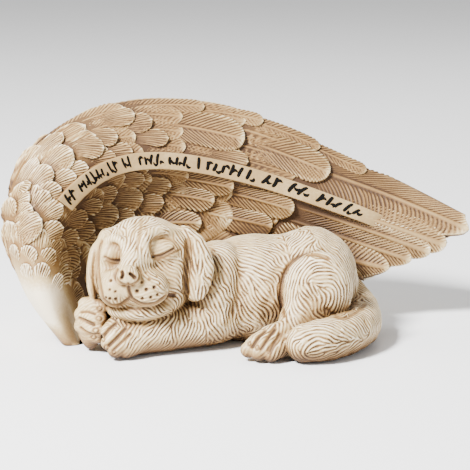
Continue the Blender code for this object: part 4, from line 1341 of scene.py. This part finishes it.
def washAndShadeGroup():
    # where the brown wash stays: in grooves, off the worn crests; and painted shade, as dark as the wash,
    # where ambient occlusion finds the surface sheltered
    tree = bpy.data.node_groups.new("antique wash and painted shade", "ShaderNodeTree")
    for label, value in stone["inputs"]:
        tree.interface.new_socket(label, in_out="INPUT", socket_type="NodeSocketFloat").default_value = value
    tree.interface.new_socket("Position", in_out="INPUT", socket_type="NodeSocketVector")
    for label, kind in (("Color", "Color"), ("Roughness", "Float"), ("Height", "Float")):
        tree.interface.new_socket(label, in_out="OUTPUT", socket_type="NodeSocket" + kind)
    entry = tree.nodes.new("NodeGroupInput")
    given = {s.name: Wire(tree, s) for s in entry.outputs if s.name}
    noise = {}
    for label, detail in (("patches", 4.0), ("grain", 3.0), ("dents", 2.0)):
        node = addNode(tree, "ShaderNodeTexNoise", {
            "Vector": given["Position"], "Scale": stone[label], "Detail": detail})
        noise[label] = Wire(tree, node.outputs[0])
    patch, speck = noise["patches"] - 0.5, noise["grain"] - 0.5
    # painted shade: the colour darkens wherever ambient occlusion finds the surface sheltered, between the
    # puppy and the wing and under the ribbon
    paintedShade = (1.0 - given["Occlusion"]) ** 1.1
    wash = given["Groove"] * (0.75 + patch * 0.8) + paintedShade * 1.0 + given["Tan"] + patch * 0.3 + speck * 0.16
    wash = wash - given["Crest"] * 0.24
    wash = calc(tree, "MINIMUM", calc(tree, "MAXIMUM", wash, 0.0), 1.0)
    colour = addNode(tree, "ShaderNodeValToRGB", {"Fac": wash})
    stops = colour.color_ramp.elements
    while len(stops) < len(stone["colours"]):
        stops.new(0.5)
    for stop, (place, value) in zip(stops, stone["colours"]):
        stop.position = place
        stop.color = (*value, 1.0)
    rough = 0.42 + wash * 0.3 + speck * 0.2
    height = speck * 0.5 - wash * 0.2 + noise["dents"] * 2.4
    leave = tree.nodes.new("NodeGroupOutput")
    for label, value in (("Color", colour.outputs["Color"]), ("Roughness", rough), ("Height", height)):
        feed(tree, value, leave.inputs[label])
    return tree


def castStone(name, wash, groove=1.0, crest=1.0, tan=0.0, wing=False):
    # one finish for each surface: how deep its grooves are stained, a tan cast, and painted shade from
    # ambient occlusion
    material = bpy.data.materials.new(name)
    material.use_nodes = True
    tree = material.node_tree
    shader = tree.nodes["Principled BSDF"]
    place = tree.nodes.new("ShaderNodeTexCoord").outputs["Object"]
    # ambient occlusion, which darkens the colour as painted shade in sheltered places
    occlusion = addNode(tree, "ShaderNodeAmbientOcclusion", {"Distance": stone["paintedShade"]}, samples=8)
    group = addNode(tree, "ShaderNodeGroup", {}, node_tree=wash)
    values = {}
    for label, factor in (("groove", groove), ("crest", crest)):
        node = addNode(tree, "ShaderNodeAttribute", {}, attribute_name=label, attribute_type="GEOMETRY")
        values[label] = Wire(tree, node.outputs["Fac"]) * factor
    cast = tan
    if wing:
        # the feathers are darker below the ribbon, partly a heavier stain and partly painted shade where the
        # ribbon and the puppy shelter them; darker towards the tips above the ribbon, partly a heavier stain
        # and partly painted shade; and the foot is paler
        share = addNode(tree, "ShaderNodeAttribute", {}, attribute_name="share", attribute_type="GEOMETRY")
        along, across, _ = splitWire(tree, share.outputs["Vector"])
        below = ramp(tree, across, 0.44, 0.56) * ramp(tree, along, 0.14, 0.28)
        tips = (1.0 - ramp(tree, across, 0.40, 0.52)) * ramp(tree, along, 0.36, 0.58)
        foot = 1.0 - ramp(tree, along, 0.10, 0.26)
        cast = tan + below * wingStainAndShade["below"] + tips * wingStainAndShade["tips"] - foot * wingStainAndShade["foot"]
    feed(tree, cast, group.inputs["Tan"])
    feed(tree, values["groove"], group.inputs["Groove"])
    feed(tree, values["crest"], group.inputs["Crest"])
    feed(tree, occlusion.outputs["AO"], group.inputs["Occlusion"])
    feed(tree, place, group.inputs["Position"])
    bump = addNode(tree, "ShaderNodeBump", {
        "Height": group.outputs["Height"], "Strength": 0.25, "Distance": 0.0002})
    feed(tree, group.outputs["Color"], shader.inputs["Base Color"])
    feed(tree, group.outputs["Roughness"], shader.inputs["Roughness"])
    feed(tree, bump.outputs["Normal"], shader.inputs["Normal"])
    shader.inputs["Specular IOR Level"].default_value = stone["gloss"]
    return material


def blackPaint():
    material = bpy.data.materials.new("black brush paint")
    material.use_nodes = True
    tree = material.node_tree
    shader = tree.nodes["Principled BSDF"]
    place = tree.nodes.new("ShaderNodeTexCoord").outputs["Object"]
    streak = addNode(tree, "ShaderNodeTexNoise", {"Vector": place, "Scale": 500.0, "Detail": 2.0})
    tone = addNode(tree, "ShaderNodeValToRGB", {"Fac": streak.outputs[0]})
    tone.color_ramp.elements[0].color = (0.001, 0.001, 0.001, 1)
    tone.color_ramp.elements[1].color = (0.005, 0.004, 0.003, 1)
    feed(tree, tone.outputs["Color"], shader.inputs["Base Color"])
    shader.inputs["Roughness"].default_value = 0.8
    shader.inputs["Specular IOR Level"].default_value = 0.08
    return material


# The studio, in metres. Each lamp: name, place, size and power.
air = {"floor": 3.0, "floorLow": -0.0002, "floorTone": 0.93, "strength": 0.55, "aim": (0, 0, 0.04), "lamps": (
    ("key", (-0.62, -0.62, 0.90), 0.30, 70.0), ("fill", (0.8, -0.9, 0.5), 0.9, 2.0),
    ("rim", (0.2, 0.7, 0.9), 0.7, 5.0),
)}


def studio():
    # pale floor, soft light from the upper left, and the photograph's camera
    far, floorLow = air["floor"], air["floorLow"]
    corners = [(x * far, y * far, floorLow) for x, y in ((-1, -1), (1, -1), (1, 1), (-1, 1))]
    floor = meshObject("studio_floor", corners, [(0, 1, 2, 3)])
    pale = bpy.data.materials.new("pale floor")
    pale.use_nodes = True
    shader = pale.node_tree.nodes["Principled BSDF"]
    shader.inputs["Base Color"].default_value = (*[air["floorTone"]] * 3, 1)
    shader.inputs["Roughness"].default_value = 0.75
    floor.data.materials.append(pale)
    world = bpy.data.worlds.new("studio air")
    world.use_nodes = True
    sky = world.node_tree.nodes["Background"]
    sky.inputs["Color"].default_value = (1.0, 1.0, 1.0, 1)
    sky.inputs["Strength"].default_value = air["strength"]
    bpy.context.scene.world = world
    for name, place, size, power in air["lamps"]:
        lamp = bpy.data.lights.new(name, "AREA")
        lamp.shape = "DISK"
        lamp.size = size
        lamp.energy = power
        made = bpy.data.objects.new(name, lamp)
        made.location = place
        made.rotation_euler = (Vector(air["aim"]) - Vector(place)).to_track_quat("-Z", "Y").to_euler()
        bpy.context.scene.collection.objects.link(made)
    lens = bpy.data.cameras.new("photograph")
    lens.sensor_width = camera["sensor"]
    lens.lens = camera["sensor"] * focal / camera["pixels"]
    lens.clip_start = 0.05
    eye = bpy.data.objects.new("photograph", lens)
    eye.location = [c * unit for c in viewPlace]
    eye.rotation_euler = (Vector(camera["target"]) * unit - eye.location).to_track_quat("-Z", "Y").to_euler()
    bpy.context.scene.collection.objects.link(eye)
    bpy.context.scene.camera = eye


def layFeathers(side, name, layer, feathers, proud, seed):
    surface, face, material = side
    carrier = featherPoints(name, face, feathers, proud, seed)
    values = dict(zip(layerInputs, layers[layer]))
    values.update({"Face": surface, "Material": material, "Root Depth": wing["rootDepth"], "Unit": unit})
    made = grown(carrier, featherNodes, values)
    print(name, len(made.data.polygons), "faces")
    return made


studio()
wash = washAndShadeGroup()
featherStone = castStone("washed and shaded feathers", wash, groove=1.1, crest=1.15, tan=0.33, wing=True)
# the back has less tan than the front: partly a lighter wash, partly painted light that lifts the shade the
# back lies in
backStone = castStone("washed and lightened back feathers", wash, groove=1.0, crest=1.15, tan=0.10)
puppyStone = castStone("washed and shaded fur", wash, groove=0.90, tan=0.17)
smoothStone = castStone("smooth ivory band", wash, groove=0.0, tan=0.32)

frontSurface = faceSurface("front_face_guide", frontFace)
backSurface = faceSurface("back_face_guide", backFace)
featherNodes = featherTree()
front = (frontSurface, frontFace, featherStone)
behind = (backSurface, backFace, backStone)
proud, lowProud, backProud = wing["proud"], wing["proud"] * 0.5, wing["proud"] * backLayer["proud"]
lowFirst = underFeathers(under["from"], under["until"])
lowLast = underFeathers(under["lowerFrom"], under["lowerUntil"])
shortFeathers = [
    layFeathers(front, "front_coverts", "covert", coverts, proud, 1),
    layFeathers(front, "front_scales", "covert", footScales, lowProud, 2),
]
longFeathers = [
    layFeathers(front, "front_flight", "flight", flightFeathers, proud, 3),
    layFeathers(front, "front_long", "long", longCoverts, proud, 4),
    layFeathers(front, "front_crest", "crest", crestFeathers, lowProud, 5),
]
backFeathers = [
    layFeathers(behind, "back_scales", "under", shoulderScales(), backProud, 6),
    layFeathers(behind, "back_tiers", "back", backTiers(), backProud, 7),
]
lowFeathers = [
    layFeathers(front, "front_under", "under", lowFirst, under["proud"], 8),
    layFeathers(front, "front_lower", "lower", lowLast, under["proud"], 9),
]
pieces = [
    joinPieces("front_coverts", shortFeathers), joinPieces("front_flight_feathers", longFeathers),
    joinPieces("front_under_feathers", lowFeathers), joinPieces("back_feathers", backFeathers),
    wingBlank(featherStone), makeRibbon(smoothStone),
]
ribbonTop, ribbonLength = ribbonGuide()
marks = grown(strokePoints(ribbonLength), strokeTree(), {
    "Face": ribbonTop, "Material": blackPaint(), "Unit": unit,
    "Pen": strokes["pen"], "Proud": strokes["proud"],
})
marks.name = "inscription_strokes"
for guide in (frontSurface, backSurface, ribbonTop):
    bpy.data.objects.remove(guide)
print("wing feathered")
pieces += makePuppy(puppyStone)

for piece in pieces + [marks]:
    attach(piece, "root")
    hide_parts("puppy_in_wing")
